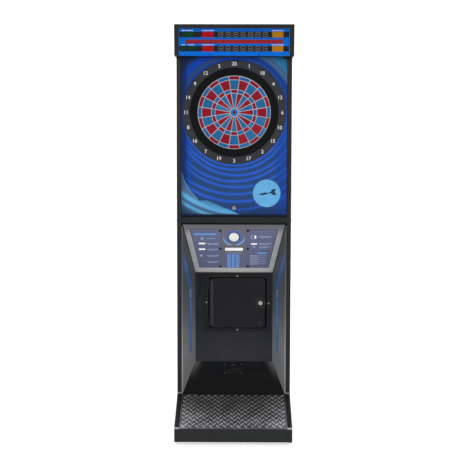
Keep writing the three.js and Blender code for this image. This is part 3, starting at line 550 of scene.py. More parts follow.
LAMINATE = finish("black_laminate", laminate_tone, specular=0.16, grain=1100, relief=0.3, worn=(86, 86, 88),
                  worn_amount=0.4)
TRIM = plastic("black_trim", (30, 31, 34))
MOULDING = plastic("edge_moulding", moulding_tone)
GLOSS = finish("gloss_laminate", ramp_painted_reflections, 0.13, specular=0.08, mottle=0.08, relief=0.04, scuffs=0.22)
STEEL = coated("powder_coat", (23, 24, 27), 0.4, specular=0.12, worn=(110, 110, 112))
# Paler copy of the powder coat, painted highlight for rounded edges, rims and bands.
STEEL_HIGHLIGHT = coated("powder_coat_edge", (38, 39, 42), 0.34, specular=0.25, speckle=0.14, relief=0.3,
                    worn=(130, 130, 132))
BACK_STEEL = coated("recess_back", recess_back_painted_shade, 0.42, specular=0.12)
GROOVE = coated("shadow_groove", (12, 12, 13), 0.7, specular=0.05, speckle=0.12)
WALL = finish("wall_laminate", wall_painted_shade, 0.46, specular=0.25, mottle=0.06, grain=1000, relief=0.2)
BOARD = finish("raw_board", board_grain, 0.85, specular=0.15, grain=700, relief=0.5)
ALLOY = alloy("tread_alloy", tread_tone, 0.45, 0.5, speckle=0.14, relief=0.3)
BAR_HIGHLIGHT = alloy("tread_rubbed", bar_highlight_tone, 0.34, 0.4, specular=0.5, speckle=0.1, relief=0.2)
SILVER = finish("silver_bezel", silver_painted_light, 0.42, 0.35, 0.4, 0.05, 500, 0.08, 0.2, (0.03, 1, 1), scuffs=0.1,
                worn=(210, 210, 212), worn_amount=0.35)
ZINC = brushed("zinc_plate", (168, 168, 162), 0.36, stretch=(1, 1, 0.1))
SCREW = brushed("screw_zinc", (142, 142, 142), 0.38)
DULL_SCREW = brushed("dull_screw", (84, 85, 86), 0.4, metal=0.6)
COPPER = brushed("inlet_pins", (190, 170, 120), 0.35)
BRASS = brushed("brass", (158, 144, 124), 0.4, metal=0.7, stretch=(1, 1, 0.3))
DARK_SCREW = finish("dark_screw", (30, 30, 32), 0.38, 0.4, worn=(120, 120, 120))
OVERLAY = overlay("overlay_ground", (91, 98, 130), speckle=0.06, relief=0.12)
OVERLAY_PALE = overlay("overlay_pale", (164, 170, 194), speckle=0.1)
OVERLAY_WHITE = overlay("overlay_white", (246, 246, 248), mottle=0.03, speckle=0.04)
OVERLAY_SKY = overlay("overlay_sky", (104, 156, 226), speckle=0.08)
OVERLAY_OLIVE = overlay("overlay_olive", (104, 108, 92))
LABEL = overlay("label_print", (176, 192, 224), speckle=0.08)
# Painted shadow: dark line just inside the bezel, round the overlays.
BEZEL_SHADOW_LINE = finish("edge_line", (58, 56, 60), mottle=0.08, grain=1600, speckle=0.1)
CENTRE = finish("centre_grey", (104, 102, 108), metal=0.1, mottle=0.06, grain=1600, speckle=0.1)
WHITE = finish("button_white", (229, 229, 225), 0.3, specular=0.4, mottle=0.02, grain=2000, speckle=0.02,
               relief=0.06)
RING_BLUE = finish("ring_blue", (78, 118, 200), 0.35, mottle=0.06, relief=0.1)
RING_GAP = finish("ring_gap", (46, 60, 116), 0.45, mottle=0.06, relief=0.1)
ART = finish("door_art", printed_art, 0.4, specular=0.06, mottle=0.06, grain=1800, speckle=0.06, relief=0.08)
BADGE = badge_print("badge_sky", (92, 168, 218), relief=0.08)
BADGE_RIM = badge_print("badge_rim", (36, 70, 116))
BADGE_INK = badge_print("badge_ink", (20, 38, 74))
RING_GREY = finish("ring_grey", (42, 43, 47), 0.55, specular=0.2, grain=1200, speckle=0.16, relief=0.35)
NUMERAL = finish("numeral_white", (214, 215, 220), 0.45, mottle=0.04, grain=1800, speckle=0.05)
FOAM = finish("catch_foam", (18, 19, 20), 0.85, specular=0.1, mottle=0.15, grain=1500, speckle=0.35,
              relief=0.9)
RED = segment("segment_red", (168, 14, 38))
CORE_RED = segment("bull_red", (118, 14, 26))
BLUE = segment("segment_blue", (36, 122, 180))
DEEP_BLUE = segment("segment_deep_blue", (20, 122, 196))
HOLE = finish("hole_shadow", (26, 20, 26), 0.8, specular=0.1)
WEB = finish("web_grey", (182, 182, 192), 0.42, mottle=0.07, grain=1500, speckle=0.06, relief=0.2,
             worn=(225, 225, 230), worn_amount=0.4)
RUBBER = finish("rubber", (24, 24, 25), 0.8, specular=0.15, grain=900, speckle=0.25, relief=0.5)
CIRCUIT = finish("circuit", circuit_color, 0.4, specular=0.4, mottle=0.05)
FILM = finish("sensor_film", (176, 188, 190), 0.3, specular=0.5, mottle=0.06, relief=0.1)
HEADER_BLUE = finish("header_blue", header_tone, 0.4, specular=0.06, mottle=0.04, grain=2000, speckle=0.03,
                     relief=0.04)
HEADER_BLACK = finish("header_black", (22, 20, 27), 0.4, specular=0.1, relief=0.08)
DIGIT = finish("digit_unlit", (104, 101, 102), 0.4, specular=0.1, mottle=0.06, relief=0.08)
LENS_RED = lens("lens_red", (158, 8, 20))
LENS_GREEN = lens("lens_green", (0, 56, 34), mottle=0.1)
LENS_AMBER = lens("lens_amber", (168, 112, 4))
STRIP_RED = lens("strip_red", (140, 22, 34), rough=0.34, specular=0.15, mottle=0.1)
STRIPE = decal("stripe_blue", (68, 104, 166), mottle=0.14)
STRIPE_CORE = decal("stripe_core", (104, 148, 208), mottle=0.12)


# ---------------------------------------------------------------- CAD nodes that stay
def keep(material, *names, bevel=0):
    """CAD nodes shown with a finish, their sharp edges eased by a bevel in millimetres."""
    for name in names:
        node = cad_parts[name]
        node.data.materials.clear()
        node.data.materials.append(material)
        if bevel:
            ease = node.modifiers.new("eased_edges", "BEVEL")
            ease.width = bevel * MM
            ease.segments = 2
            ease.limit_method = "ANGLE"
            ease.angle_limit = radians(35)
            ease.harden_normals = True


keep(LAMINATE, "side_panel_left", "side_panel_right", "base_front_board", "header_housing", "head_rail",
     bevel=0.9)
keep(LAMINATE, "back_panel", bevel=0.5)
keep(GLOSS, "ramp_panel", bevel=0.4)
keep(WALL, "recess_wall_left", "recess_wall_right", bevel=0.3)
keep(STEEL, "control_backing_plate", bevel=0.4)
keep(BACK_STEEL, "recess_back_panel", bevel=0.4)
keep(LAMINATE, "bottom_board", bevel=0.6)
keep(BOARD, "top_board", bevel=0.6)
keep(ZINC, "coin_mechanism", "cash_box", bevel=0.3)
keep(ART, "head_hinge_fixed_leaf", "head_hinge_door_leaf", bevel=0.3)
keep(CIRCUIT, "main_board", "matrix_board", bevel=0.2)
keep(FILM, "sensor_matrix")
keep(RUBBER, "rubber_pad", bevel=0.6)
keep(TRIM, "target_back_plate", "start_button_switch", bevel=0.4)
keep(ART, "head_door_panel", bevel=0.6)
keep(HEADER_BLUE, "header_face", bevel=0.25)


# ---------------------------------------------------------------- target
BULL = (0, 1727)
HEAD_LOCK = (0, 1217)
DOOR_FACE = 50.2  # front of the head door, measured from the cabinet's middle plane
HOLE_FLOOR = 43.4
SEGMENT_BASE, SEGMENT_TOP = 34.2, 45.6
SECTORS = 20
SECTOR_STEP = 18  # degrees
SEGMENT_GAP = 0.35  # between a segment and the web round it
ROW_SHARE = 0.87  # height of a row of the hexagonal hole grid, as a share of its pitch
SPOKE_HALF = 1.5
NUMBER_RADIUS, NUMBER_HEIGHT = 257, 19.6
DIAL = (20, 1, 18, 4, 13, 6, 10, 15, 2, 17, 3, 19, 7, 16, 8, 11, 14, 9, 12, 5)
RINGS = {  # inner radius, outer radius, curve steps, (even, odd) sector materials
    "double": (174.7, 191.6, 8, (RED, DEEP_BLUE)),
    "outer_single": (123.1, 171.9, 8, (BLUE, RED)),
    "triple": (103.5, 120.3, 6, (RED, DEEP_BLUE)),
    "inner_single": (22.5, 100.7, 6, (BLUE, RED)),
}


def polar(radius, clock):
    """Point at a radius and at an angle in degrees clockwise from the top."""
    a = radians(clock)
    return (BULL[0] + radius * sin(a), BULL[1] + radius * cos(a))


def wedge(inner, outer, sector, steps, margin):
    """Outline of a sector between two radii, kept clear of the spokes by a margin."""
    middle, half = SECTOR_STEP * sector, SECTOR_STEP / 2
    points = []
    for radius, forward in ((inner + margin, False), (outer - margin, True)):
        trim = degrees(asin((SPOKE_HALF + margin) / radius))
        for i in range(steps + 1):
            t = i / steps if forward else 1 - i / steps
            points.append(polar(radius, middle - half + trim + t * 2 * (half - trim)))
    return points


def dart_holes(inner, outer, sector):
    """Hexagonal grid of dart-tip holes that fit inside one segment."""
    pitch, radius, ring_wall, spoke_wall = 4.3, 1.45, 1.2, 1.1
    middle, half = SECTOR_STEP * sector, SECTOR_STEP / 2
    holes, row = [], 0
    reach = inner + ring_wall + radius
    while reach <= outer - ring_wall - radius:
        sweep = radians(2 * half) * reach - 2 * (SPOKE_HALF + radius + spoke_wall)
        count = int(sweep // pitch) + 1 if sweep > 0 else 0
        if count and (count + row) % 2:
            count -= 1
        for i in range(count):
            along = (i - (count - 1) / 2) * pitch
            x, z = polar(reach, middle + degrees(along / reach))
            holes.append(circle(x, z, radius, 6, radians(30 - middle)))
        reach += pitch * ROW_SHARE
        row += 1
    return holes


def segments():
    for name, (inner, outer, steps, pair) in RINGS.items():
        for parity, material in enumerate(pair):
            shade = "red" if material is RED else "blue"
            part = Part(f"{name}_{shade}_segments", [material, HOLE], FRONT, f"segment_{shade}",
                        f"{name}_segments", body=f"{name}_ring")
            for sector in range(parity, SECTORS, 2):
                part.plate(wedge(inner, outer, sector, steps, SEGMENT_GAP), dart_holes(inner, outer, sector),
                           SEGMENT_BASE, SEGMENT_TOP, 0.5, floor=HOLE_FLOOR)
            part.build(30)


def web():
    part = Part("divider_web", [WEB], FRONT, "web_grey", "target_web", body="head_door")
    holes = [circle(*BULL, 20.1, 48)]
    for inner, outer, steps, _ in RINGS.values():
        holes += [wedge(inner, outer, sector, steps, 0) for sector in range(SECTORS)]
    part.plate(circle(*BULL, 195, 160), holes, 36, 48, 0.5)
    part.hoop([(224, 35.2), (224, 38.4), (193, 38.4), (193, 35.2)], BULL, 120)
    part.build(30)


def bulls():
    part = Part("outer_bull_ring", [DEEP_BLUE, HOLE], FRONT, "segment_blue", "outer_bull", body="outer_bull")
    holes = [circle(*polar(14.2, 360 * i / 20), 1.4, 8) for i in range(20)]
    holes.insert(0, circle(*BULL, 8.6, 40))
    part.plate(circle(*BULL, 19.8, 64), holes, 33, 46, 0.5, floor=HOLE_FLOOR, through=1)
    part.build(30)
    part = Part("inner_bull_cap", [CORE_RED, HOLE], FRONT, "segment_red", "inner_bull", body="inner_bull")
    holes = [circle(*polar(3.9, 60 * i), 1.1, 8) for i in range(6)] + [circle(*BULL, 1.1, 8)]
    part.plate(circle(*BULL, 6.6, 48), holes, 33, 46.4, 0.6, floor=43.6)
    part.build(30)


def catch_ring():
    part = Part("catch_ring_foam", [FOAM], FRONT, "rubber", "catch_ring", body="head_door")
    profile = [(236, DOOR_FACE), (236, 51.2), (234.6, 52.4)]
    ridges, ridge_pitch = 9, 3.7
    for i in range(ridges):
        reach = 231.5 - i * ridge_pitch
        profile += [(reach + 0.9, 52.5), (reach, 51.8), (reach - 0.9, 52.5)]
    profile += [(197.4, 52.4), (195.4, 50.6), (195.3, 46.6), (226, 44), (226, 12.2), (230, 12.2),
                (230, DOOR_FACE)]
    part.hoop(profile, BULL, 160)
    part.build(35)


def number_ring():
    part = Part("number_ring_plate", [RING_GREY], FRONT, "ring_grey", "number_ring", body="head_door")
    part.hoop([(276, DOOR_FACE), (276, 51.6), (275.2, 52.4), (273.8, 52.8), (238.6, 52.8), (237.2, 52.4),
               (236.3, 51.6), (236.3, DOOR_FACE)], BULL, 192)
    part.hoop([(272.4, 52.8), (272.2, 53.05), (271.6, 53.05), (271.4, 52.8)], BULL, 192)
    part.build(35)

    verts, faces = [], []
    for index, number in enumerate(DIAL):
        x, z = polar(NUMBER_RADIUS, SECTOR_STEP * index)
        offset_by = len(verts)
        glyph_verts, glyph_faces = glyphs(str(number), NUMBER_HEIGHT)
        verts += [(gx + x, gy + z, 52.7 + gz) for gx, gy, gz in glyph_verts]
        faces += [[offset_by + i for i in face] for face in glyph_faces]
    part = Part("dial_numbers", [NUMERAL], FRONT, body="head_door")
    part.add(verts, faces)
    part.build(30)


def glyphs(text, height):
    """Raised numerals centred on the origin, as vertices and faces in millimetres."""
    curve = bpy.data.curves.new("numeral", "FONT")
    curve.body = text
    curve.align_x, curve.align_y = "CENTER", "CENTER"
    curve.size = height * 1.38
    curve.offset = 0.012 * height
    curve.resolution_u = 5
    curve.extrude = 0.45
    curve.bevel_depth = 0.12
    curve.bevel_resolution = 0
    holder = bpy.data.objects.new("numeral", curve)
    bpy.context.scene.collection.objects.link(holder)
    bpy.context.view_layer.update()
    mesh = bpy.data.meshes.new_from_object(holder.evaluated_get(bpy.context.evaluated_depsgraph_get()))
    low = [min(v.co[i] for v in mesh.vertices) for i in range(3)]
    high = [max(v.co[i] for v in mesh.vertices) for i in range(3)]
    middle = [(a + b) / 2 for a, b in zip(low, high)]
    verts = [(v.co.x - middle[0], v.co.y - middle[1], v.co.z - low[2]) for v in mesh.vertices]
    faces = [list(p.vertices) for p in mesh.polygons]
    bpy.data.objects.remove(holder)
    bpy.data.meshes.remove(mesh)
    bpy.data.curves.remove(curve)
    return verts, faces


def barrel_lock(part, x, z, base, radius, height):
    """Round lock face with a raised rim, a plug and a keyway in the second material."""
    profile = ((radius, 0), (radius, 0.55), (radius - 0.8, 0.85), (radius - 2, 1), (radius * 0.68, 1),
               (radius * 0.62, 0.8), (radius * 0.6, 0.8), (radius * 0.57, 0.95), (0, 0.97))
    part.turn([(reach, base + height * share) for reach, share in profile], (x, z))
    part.slab(rounded(x, z, 1.8, radius * 0.78, 0.8, 3), base + height * 0.9, base + height * 0.99, slot=1)


def head_lock():
    part = Part("head_lock_barrel", [BRASS, HOLE, ZINC], FRONT, "brass", "head_door_lock", body="head_lock")
    barrel_lock(part, *HEAD_LOCK, DOOR_FACE, 11, 3.8)
    part.turn([(9.3, 17.6), (9.3, 50.4)], HEAD_LOCK, 32)
    part.slab(rounded(27, 1217, 70, 15, 5, 4), 15.6, 18, 0.3, 2)
    part.turn([(8.5, 13.2), (8.5, 15), (7.8, 15.6)], HEAD_LOCK, 6, 2)
    part.build(30)


segments()
web()
bulls()
catch_ring()
number_ring()
head_lock()


# ---------------------------------------------------------------- cabinet
# Side view of the edge moulding as (y, z) points, from the base up to the back.
EDGE_RUN = ((-350, 17), (-350, 93), (-50, 202), (-50, 2020), (350, 2020))
EDGE_BENDS = (0, 9, 26, 5, 0)  # outer radius at each corner of the run
MESH_PITCH = 6.2  # of the holes in the vent mesh
BAR_HALF, BAR_LEAN = (14.8, 3.9), 0.9  # half length and half width of a tread bar, and its slant in radians


def filleted(points, radii):
    """Open run of points with its corners replaced by arcs, as (point, outward normal) pairs."""
    path = []
    for i, (y, z) in enumerate(points):
        here = Vector((y, z))
        back = (Vector(points[i - 1]) - here).normalized() if i else None
        ahead = (Vector(points[i + 1]) - here).normalized() if i < len(points) - 1 else None
        if back is None or ahead is None:
            along = ahead if back is None else -back
            path.append((here, Vector((-along.y, along.x))))
            continue
        half = acos(max(-1, min(1, back.dot(ahead)))) / 2
        reach = radii[i] / tan(half)
        turn = -back.x * ahead.y + back.y * ahead.x
        side = 1 if turn < 0 else -1
        n0, n1 = Vector((back.y, -back.x)), Vector((-ahead.y, ahead.x))
        centre = here + back * reach - n0 * radii[i] * side
        for k in range(9):
            t, arc = k / 8, pi - 2 * half
            normal = (n0 * sin((1 - t) * arc) + n1 * sin(t * arc)).normalized()
            path.append((centre + normal * radii[i] * side, normal))
    return path


def edge_mouldings():
    """Crowned T-moulding caps bent round the front edge of each side panel."""
    section = [(-12, -2.5), (-12, -1.1), (-11.5, -0.5), (-10.2, -0.12), (-5, 0), (0, 0.05), (5, 0),
               (10.2, -0.12), (11.5, -0.5), (12, -1.1), (12, -2.5)]
    path = filleted(EDGE_RUN, EDGE_BENDS)
    for name, middle in (("left", -295), ("right", 295)):
        part = Part(f"edge_cap_{name}", [MOULDING], WORLD, "black_trim", f"edge_moulding_{name}")
        rings = []
        for point, normal in path:
            ring = [(middle + u, point.x + normal.x * v, point.y + normal.y * v) for u, v in section]
            rings.append(ring[::-1])
        part.loft(rings)
        part.build(35)


def tread():
    """Raised-bar plate: two interleaved sets of slanted bars, tapered to their ends."""
    # The bars take the painted highlight colour, the plate the painted light and shade.
    part = Part("tread_plate_bars", [ALLOY, BAR_HIGHLIGHT], TREAD, "tread_metal", "tread_plate")
    half, length, margin, columns, rows = 282.7, 319.2, 10, 15, 8
    part.slab(rectangle(0, length / 2, 2 * half, length - 2), -2.5, 0, 0.5, steps=2)
    pitch_x, pitch_y = (2 * half - 2 * margin) / columns, (length - 2 * margin) / rows
    lens = []
    for level, share in ((-0.3, 1), (0.7, 0.84), (1.4, 0.6), (1.8, 0.32)):
        ring = []
        for i in range(14):
            a = 2 * pi * i / 14
            x = copysign(abs(cos(a)) ** 0.8, cos(a)) * BAR_HALF[0] * (0.6 + 0.4 * share)
            y = copysign(abs(sin(a)) ** 1.15, sin(a)) * BAR_HALF[1] * share
            ring.append((x, y, level))
        lens.append(ring)
    for row in range(2 * rows):
        lean = -1 if row % 2 == 0 else 1
        for column in range(columns):
            x = -half + margin + (column + (0.75 if lean > 0 else 0.25)) * pitch_x
            y = margin + (row / 2 + 0.25) * pitch_y
            place = Matrix.Translation((x, y, 0)) @ Matrix.Rotation(lean * BAR_LEAN, 4, "Z")
            part.loft(lens, 1, place, cap_start=False)
    part.build(50)


def ramp_plate():
    part = Part("service_plate", [GLOSS, DULL_SCREW], RAMP, "black_steel", "ramp_service_plate")
    x, y = -3, 215.3 - 52
    part.slab(rounded(x, y, 108, 76, 6), 0.1, 2.1, 0.7, steps=3)
    part.slab(rounded(x, y + 2, 62, 34, 4), 2, 2.7, 0.5, steps=2)
    for sx, sy in ((-1, -1), (1, -1), (1, 1), (-1, 1)):
        part.screw(x + 46 * sx, y + 30 * sy, 2, 4.4, 2, 1)
    part.slab(rounded(x, y + 25, 26, 5, 2.4, 4), 2, 3.4, 0.6, 1, steps=2)
    part.build(35)


def wall_stripes():
    """Blue stripe on each recess wall: a slanting pointed blade that narrows into a long bar."""
    blade = [(11, 972), (17, 905), (40, 862), (66, 812), (88, 776), (104, 768), (120, 772), (124, 790),
             (96, 842), (56, 912), (26, 958)]
    bar = [(88, 706), (90, 470), (94, 412), (118, 408), (121, 470), (124, 706)]
    core = [(100, 700), (101, 470), (104, 416), (112, 416), (114, 470), (114, 700)]
    links = [[(88, 758), (95, 764), (123, 716), (115, 711)], [(103, 763), (110, 766), (124, 742), (124, 728)],
             [(88, 738), (88, 726), (101, 709), (108, 710)]]
    for name, at, mirror in (("left", LEFT_WALL, 1), ("right", RIGHT_WALL, -1)):
        part = Part(f"wall_stripe_{name}", [STRIPE, STRIPE_CORE], at)
        marks = [(blade, 0.35, 0), (bar, 0.35, 0), (core, 0.5, 1)] + [(link, 0.3, 1) for link in links]
        for outline, high, slot in marks:
            flat = [(mirror * u, z) for u, z in outline]
            part.plate(flat, [], 0.02, high, 0.1, slot)
        part.build(30)


def side_caps():
    """Plastic caps over the bolts that hold the boards between the side panels."""
    spots = ((-300, 50), (-120, 60), (180, 26), (-20, 1149), (-20, 2008), (150, 2008), (330, 2008),
             (335, 1400), (335, 900), (335, 400))
    for name, at, mirror in (("left", LEFT_SIDE, -1), ("right", RIGHT_SIDE, 1)):
        part = Part(f"bolt_caps_{name}", [TRIM], at)
        for y, z in spots:
            part.turn([(8, 0), (8, 0.5), (7.2, 1.3), (5, 1.9), (0, 2.2)], (mirror * y, z), 28)
        part.build(35)


def rear_fittings():
    """Sunk screws and a mains inlet. They stay within half a millimetre of the back, the rearmost face."""
    part = Part("back_screws", [SCREW], BACK)
    upright = [(x, z) for z in (30, 330, 660, 990, 1320, 1650, 1986) for x in (-270, 270)]
    for x, z in upright + [(x, z) for x in (-135, 0, 135) for z in (30, 1986)]:
        part.screw(x, z, 0, 4.5, 0.4)
    part.build(35)

    part = Part("power_inlet", [TRIM, HOLE, COPPER], BACK)
    x, z = -205, 150
    part.plate(rounded(x, z, 62, 36, 4), [rounded(x, z, 29, 21, 3)], 0, 0.3, 0.15)
    part.slab(rounded(x, z, 47, 27, 3), -14, -9)
    part.plate(rounded(x, z, 46, 26, 3), [rounded(x, z, 29, 21, 3)], -9.2, 0.2)
    part.slab(rounded(x, z, 24, 15, 3.5), -9.2, -1.2, 0.6, steps=2)
    for dx, dz in ((-6, -1.5), (6, -1.5), (0, 3)):
        part.slab(rectangle(x + dx, z + dz, 2, 5), -9, 0.3, 0.4, 2)
    for dx in (-26, 26):
        part.screw(x + dx, z, 0.2, 3, 0.3, 1)
    part.build(35)

    part = Part("vent_mesh", [STEEL], BACK)
    for base in (290, 1870):
        for x in (-110, 0, 110):
            holes = [circle(x + (i + j % 2 / 2) * MESH_PITCH - 43.4, base + j * 5.4 - 35.1, 2.1, 6)
                     for j in range(14) for i in range(15)]
            part.plate(rectangle(x, base, 98, 82), holes, -14, -12.3)
    part.build(30)


def feet():
    """Levelling feet: rubber pad, pressed cup, hexagonal nut and threaded stem."""
    spots = {"front_left": (-245, -262), "front_right": (245, -262), "rear_left": (-245, 300),
             "rear_right": (245, 300)}
    for name, centre in spots.items():
        part = Part(f"levelling_foot_{name}", [RUBBER, ZINC], WORLD, "zinc", f"foot_{name}",
                    body=f"foot_{name}")
        part.turn([(0, 0), (18.4, 0), (19.6, 0.6), (20.4, 2.2), (20.4, 3.2), (0, 3.2)], centre)
        part.turn([(20.9, 2.6), (21, 4.6), (19.4, 6.2), (12, 8.2), (9.6, 9.4), (8.8, 9.6), (0, 9.6)], centre,
                  slot=1)
        part.slab(circle(*centre, 8.7, 6), 9.4, 14, 0.7, 1, steps=2)
        thread = [(4.3, 13.8)]
        for i in range(30):
            z = 14.4 + i * 1.6
            thread += [(4.3, z), (4.95, z + 0.5), (4.95, z + 0.8), (4.3, z + 1.3)]
        thread += [(4.3, 62.6), (3.6, 64), (0, 64)]
        part.turn(thread, centre, 24, 1)
        part.build(35)


edge_mouldings()
tread()
ramp_plate()
wall_stripes()
side_caps()
rear_fittings()
feet()


# ---------------------------------------------------------------- coin door
COIN = (20, 676)
COIN_LOCK = (147, 676)
COIN_SHEET = -103.4  # plane of the door's pressed sheet, behind the cabinet's middle plane


def dome_bolt(part, x, z, base, slot):
    for profile in (((6.6, -0.2), (6.6, 0.5), (6.2, 0.9)),
                    ((5.8, 0.8), (5.6, 1.8), (4.6, 3.1), (2.7, 4), (0, 4.3))):
        part.turn([(radius, base + rise) for radius, rise in profile], (x, z), 36, slot)


def barrel(part, low, high):
    """Hinge knuckle about the coin door's pin, with eased ends."""
    place = FRONT.inverted() @ placed((-134.5, 104.4, 0), (1, 0, 0), (0, 1, 0))
    part.turn([(0, low), (2.4, low), (2.9, low + 0.5), (2.9, high - 0.5), (2.4, high), (0, high)], steps=24,
              place=place)


def coin_frame():
    part = Part("coin_frame", [STEEL, SCREW, GROOVE, STEEL_HIGHLIGHT], FRONT, "black_steel", "coin_door_frame")
    opening = rounded(*COIN, 327, 289, 20, 8)
    part.plate(rounded(17.5, 676, 368, 318, 24, 10), [opening], -109.9, -107.4, 0.9)
    # Painted highlight: a thin paler lip round the opening.
    part.plate(offset(opening, -1.6), [opening], -107.6, -107, 0.4, 3)
    part.plate(rounded(*COIN, 332, 294, 22), [offset(opening, 0.2)], -121.9, -108.2, slot=2)
    part.plate(rounded(*COIN, 331, 293, 21), [rounded(*COIN, 279, 252, 8)], -121.9, -119.4, 0.4, 2)
    for low, high in ((547, 597), (753, 803)):
        middle = (low + high) / 2
        part.slab(rectangle(-141.2, middle, 13.4, 49.6), -107.9, -105.7, 0.4, steps=2)
        barrel(part, low + 0.2, high - 0.2)
    for x, z in ((18.5, 827), (-153.5, 679), (191.8, 674), (18.5, 525.5)):
        dome_bolt(part, x, z, -107.4, 1)
    part.build(35)


def coin_door():
    part = Part("coin_door_panel", [STEEL, STEEL_HIGHLIGHT, HOLE], FRONT, "black_steel", "coin_door",
                body="coin_door")
    outline = rounded(*COIN, 303, 276, 16, 10)
    # Painted highlight: the rolled outer edge takes the paler coat.
    part.loft([lifted(outline, -106.2)] + rolled(outline, -103.2, 2.6, 6), 1, None, False, False)
    part.plate(offset(outline, 2.5), [circle(*COIN_LOCK, 9.8, 40)], -105.8, -103.2)
    raised = rounded(12, 677, 252, 232, 10, 8)
    slope = ((0, COIN_SHEET), (2.5, -102.6), (5, -102.2))
    part.loft([lifted(offset(raised, inset), z) for inset, z in slope], cap_start=False)
    # Painted highlight: a pale band along the door's left edge.
    part.plate(rounded(-121.5, 676, 13, 250, 5), [], -103.3, -102.7, 0.5, 1)
    # Painted highlight: the lock boss rings and the small knob below take the paler coat.
    part.hoop([(28, COIN_SHEET), (27.8, -102), (26.6, -100.9), (24.2, -100.8), (22.2, -101.8),
               (21.4, COIN_SHEET)], COIN_LOCK, 64, 1)
    part.hoop([(21.5, COIN_SHEET), (21.5, -103.25), (13, -103.1), (13, COIN_SHEET)], COIN_LOCK, 64, 2)
    part.hoop([(16.6, COIN_SHEET), (16.4, -102.5), (15.6, -102), (14, -102), (13.4, -102.6),
               (13.2, COIN_SHEET)], COIN_LOCK, 64, 1)
    part.hoop([(9.5, COIN_SHEET), (9.3, -102.2), (8.6, -101.7), (7.4, -102.1), (7.2, COIN_SHEET)],
              (147, 566), 40, 1)
    shell = rounded(*COIN, 297, 270, 13, 8)
    part.plate(shell, [offset(shell, 2)], -117.9, -105.6)
    barrel(part, 598, 752)
    part.slab(rectangle(-129.2, 675, 10.4, 153.4), -106.1, COIN_SHEET, 0.4, steps=2)
    part.build(35)

    part = Part("coin_lock_barrel", [ZINC, HOLE], FRONT, "zinc", "coin_door_lock", body="coin_lock")
    x, z = COIN_LOCK
    barrel_lock(part, x, z, -102.9, 12.5, 4.3)
    part.turn([(9.3, -123.9), (9.3, -102.6)], COIN_LOCK, 32)
    part.slab(rounded(x, z - 19, 15, 55, 5, 4), -125.9, -123.6, 0.3)
    part.turn([(8.2, -128.2), (8.2, -126.4), (7.6, -125.8)], COIN_LOCK, 6)
    part.build(30)


def cover_strip():
    part = Part("cover_strip", [STEEL, HOLE], FRONT, "black_steel", "narrow_cover_plate")
    part.slab(rounded(-179.8, 772, 22.4, 112, 2.5), -109.9, -106.7, 0.8, steps=3)
    # Painted shadow: a dark strip along the left edge stands for a shadow gap.
    part.slab(rounded(-187.3, 772, 7, 108, 1.2), -106.9, -106.4, slot=1)
    part.build(35)


coin_frame()
coin_door()
cover_strip()


# ---------------------------------------------------------------- control panel
PANEL_LENGTH = hypot(287, 160)
WINDOW_TOP, WINDOW_BOTTOM = -34.4, -PANEL_LENGTH + 32.9  # opening inside the bezel
START, SELECT = (0, -83), (0, -166)
RIBBON_RADIUS, RIBBON_HALF = 58, 5
PRINT_LOW, PRINT_HIGH = 0.85, 1.05  # printed marks stand this far off the backing plate
DASHES, DASH_GAP = (9, 5, 12, 7, 4, 10, 6, 8), 2.2  # lengths of the dashes that stand for words


def panel_half(v, clearance):
    """Half the panel's width at a height, less a clearance; the walls close in by 63 mm to the bottom."""
    return 277 + 63 * v / PANEL_LENGTH - clearance


def panel_outline(top, bottom, clearance):
    """Symmetrical trapezoid between two heights on the panel."""
    low, high = panel_half(bottom, clearance), panel_half(top, clearance)
    return [(-low, bottom), (low, bottom), (high, top), (-high, top)]


def bezel():
    """Four mitred bars with a two-step section and a hairline joint at each corner."""
    part = Part("panel_bezel", [SILVER], PANEL, "silver", "control_bezel")
    top, bottom = -4, -PANEL_LENGTH + 5.5
    outer = panel_outline(top, bottom, 0.8)
    section = ((0, 0.1), (0, 3.2), (0.5, 4.3), (1.6, 4.9), (3, 5), (13.2, 5), (14.2, 4.8), (15, 4),
               (15.4, 3.1), (26.5, 2.9), (28.6, 2.6), (29.4, 1.9), (29.6, 0.1))
    rings = [lifted(offset(outer, inset), z) for inset, z in section]
    for side in range(4):
        after = (side + 1) % 4
        lines = [(Vector(ring[side]), Vector(ring[after])) for ring in rings]
        along = (lines[0][1] - lines[0][0]).normalized() * 0.22
        first = [a + along for a, _ in lines]
        last = [b - along for _, b in lines]
        part.loft([first, last])
    part.build(35)


def printed(part, outlines, slot=0):
    """Flat marks of ink on the instruction sheets."""
    for outline in outlines:
        part.slab(outline, PRINT_LOW, PRINT_HIGH, slot=slot)


def strokes(x, y, width, height, seed):
    """A line of small printed dashes that stands for a line of instructions."""
    outlines, at = [], x
    while at < x + width - 3:
        size = min(DASHES[(seed + len(outlines)) % len(DASHES)], x + width - at)
        outlines.append(rounded(at + size / 2, y, size, height, height * 0.3, 2))
        at += size + DASH_GAP
    return outlines


def paragraph(part, lines, height=4, seed=0, slot=0):
    """Lines of dashes, each line given by its height on the panel, its left end and its width."""
    for row, (y, x, width) in enumerate(lines):
        printed(part, strokes(x, y, width, height, row + seed), slot)


def arc_band(cx, cy, inner, outer, first, last, steps=18):
    angles = [radians(first + (last - first) * i / steps) for i in range(steps + 1)]
    return [spot(cx, cy, outer, a) for a in angles] + [spot(cx, cy, inner, a) for a in reversed(angles)]


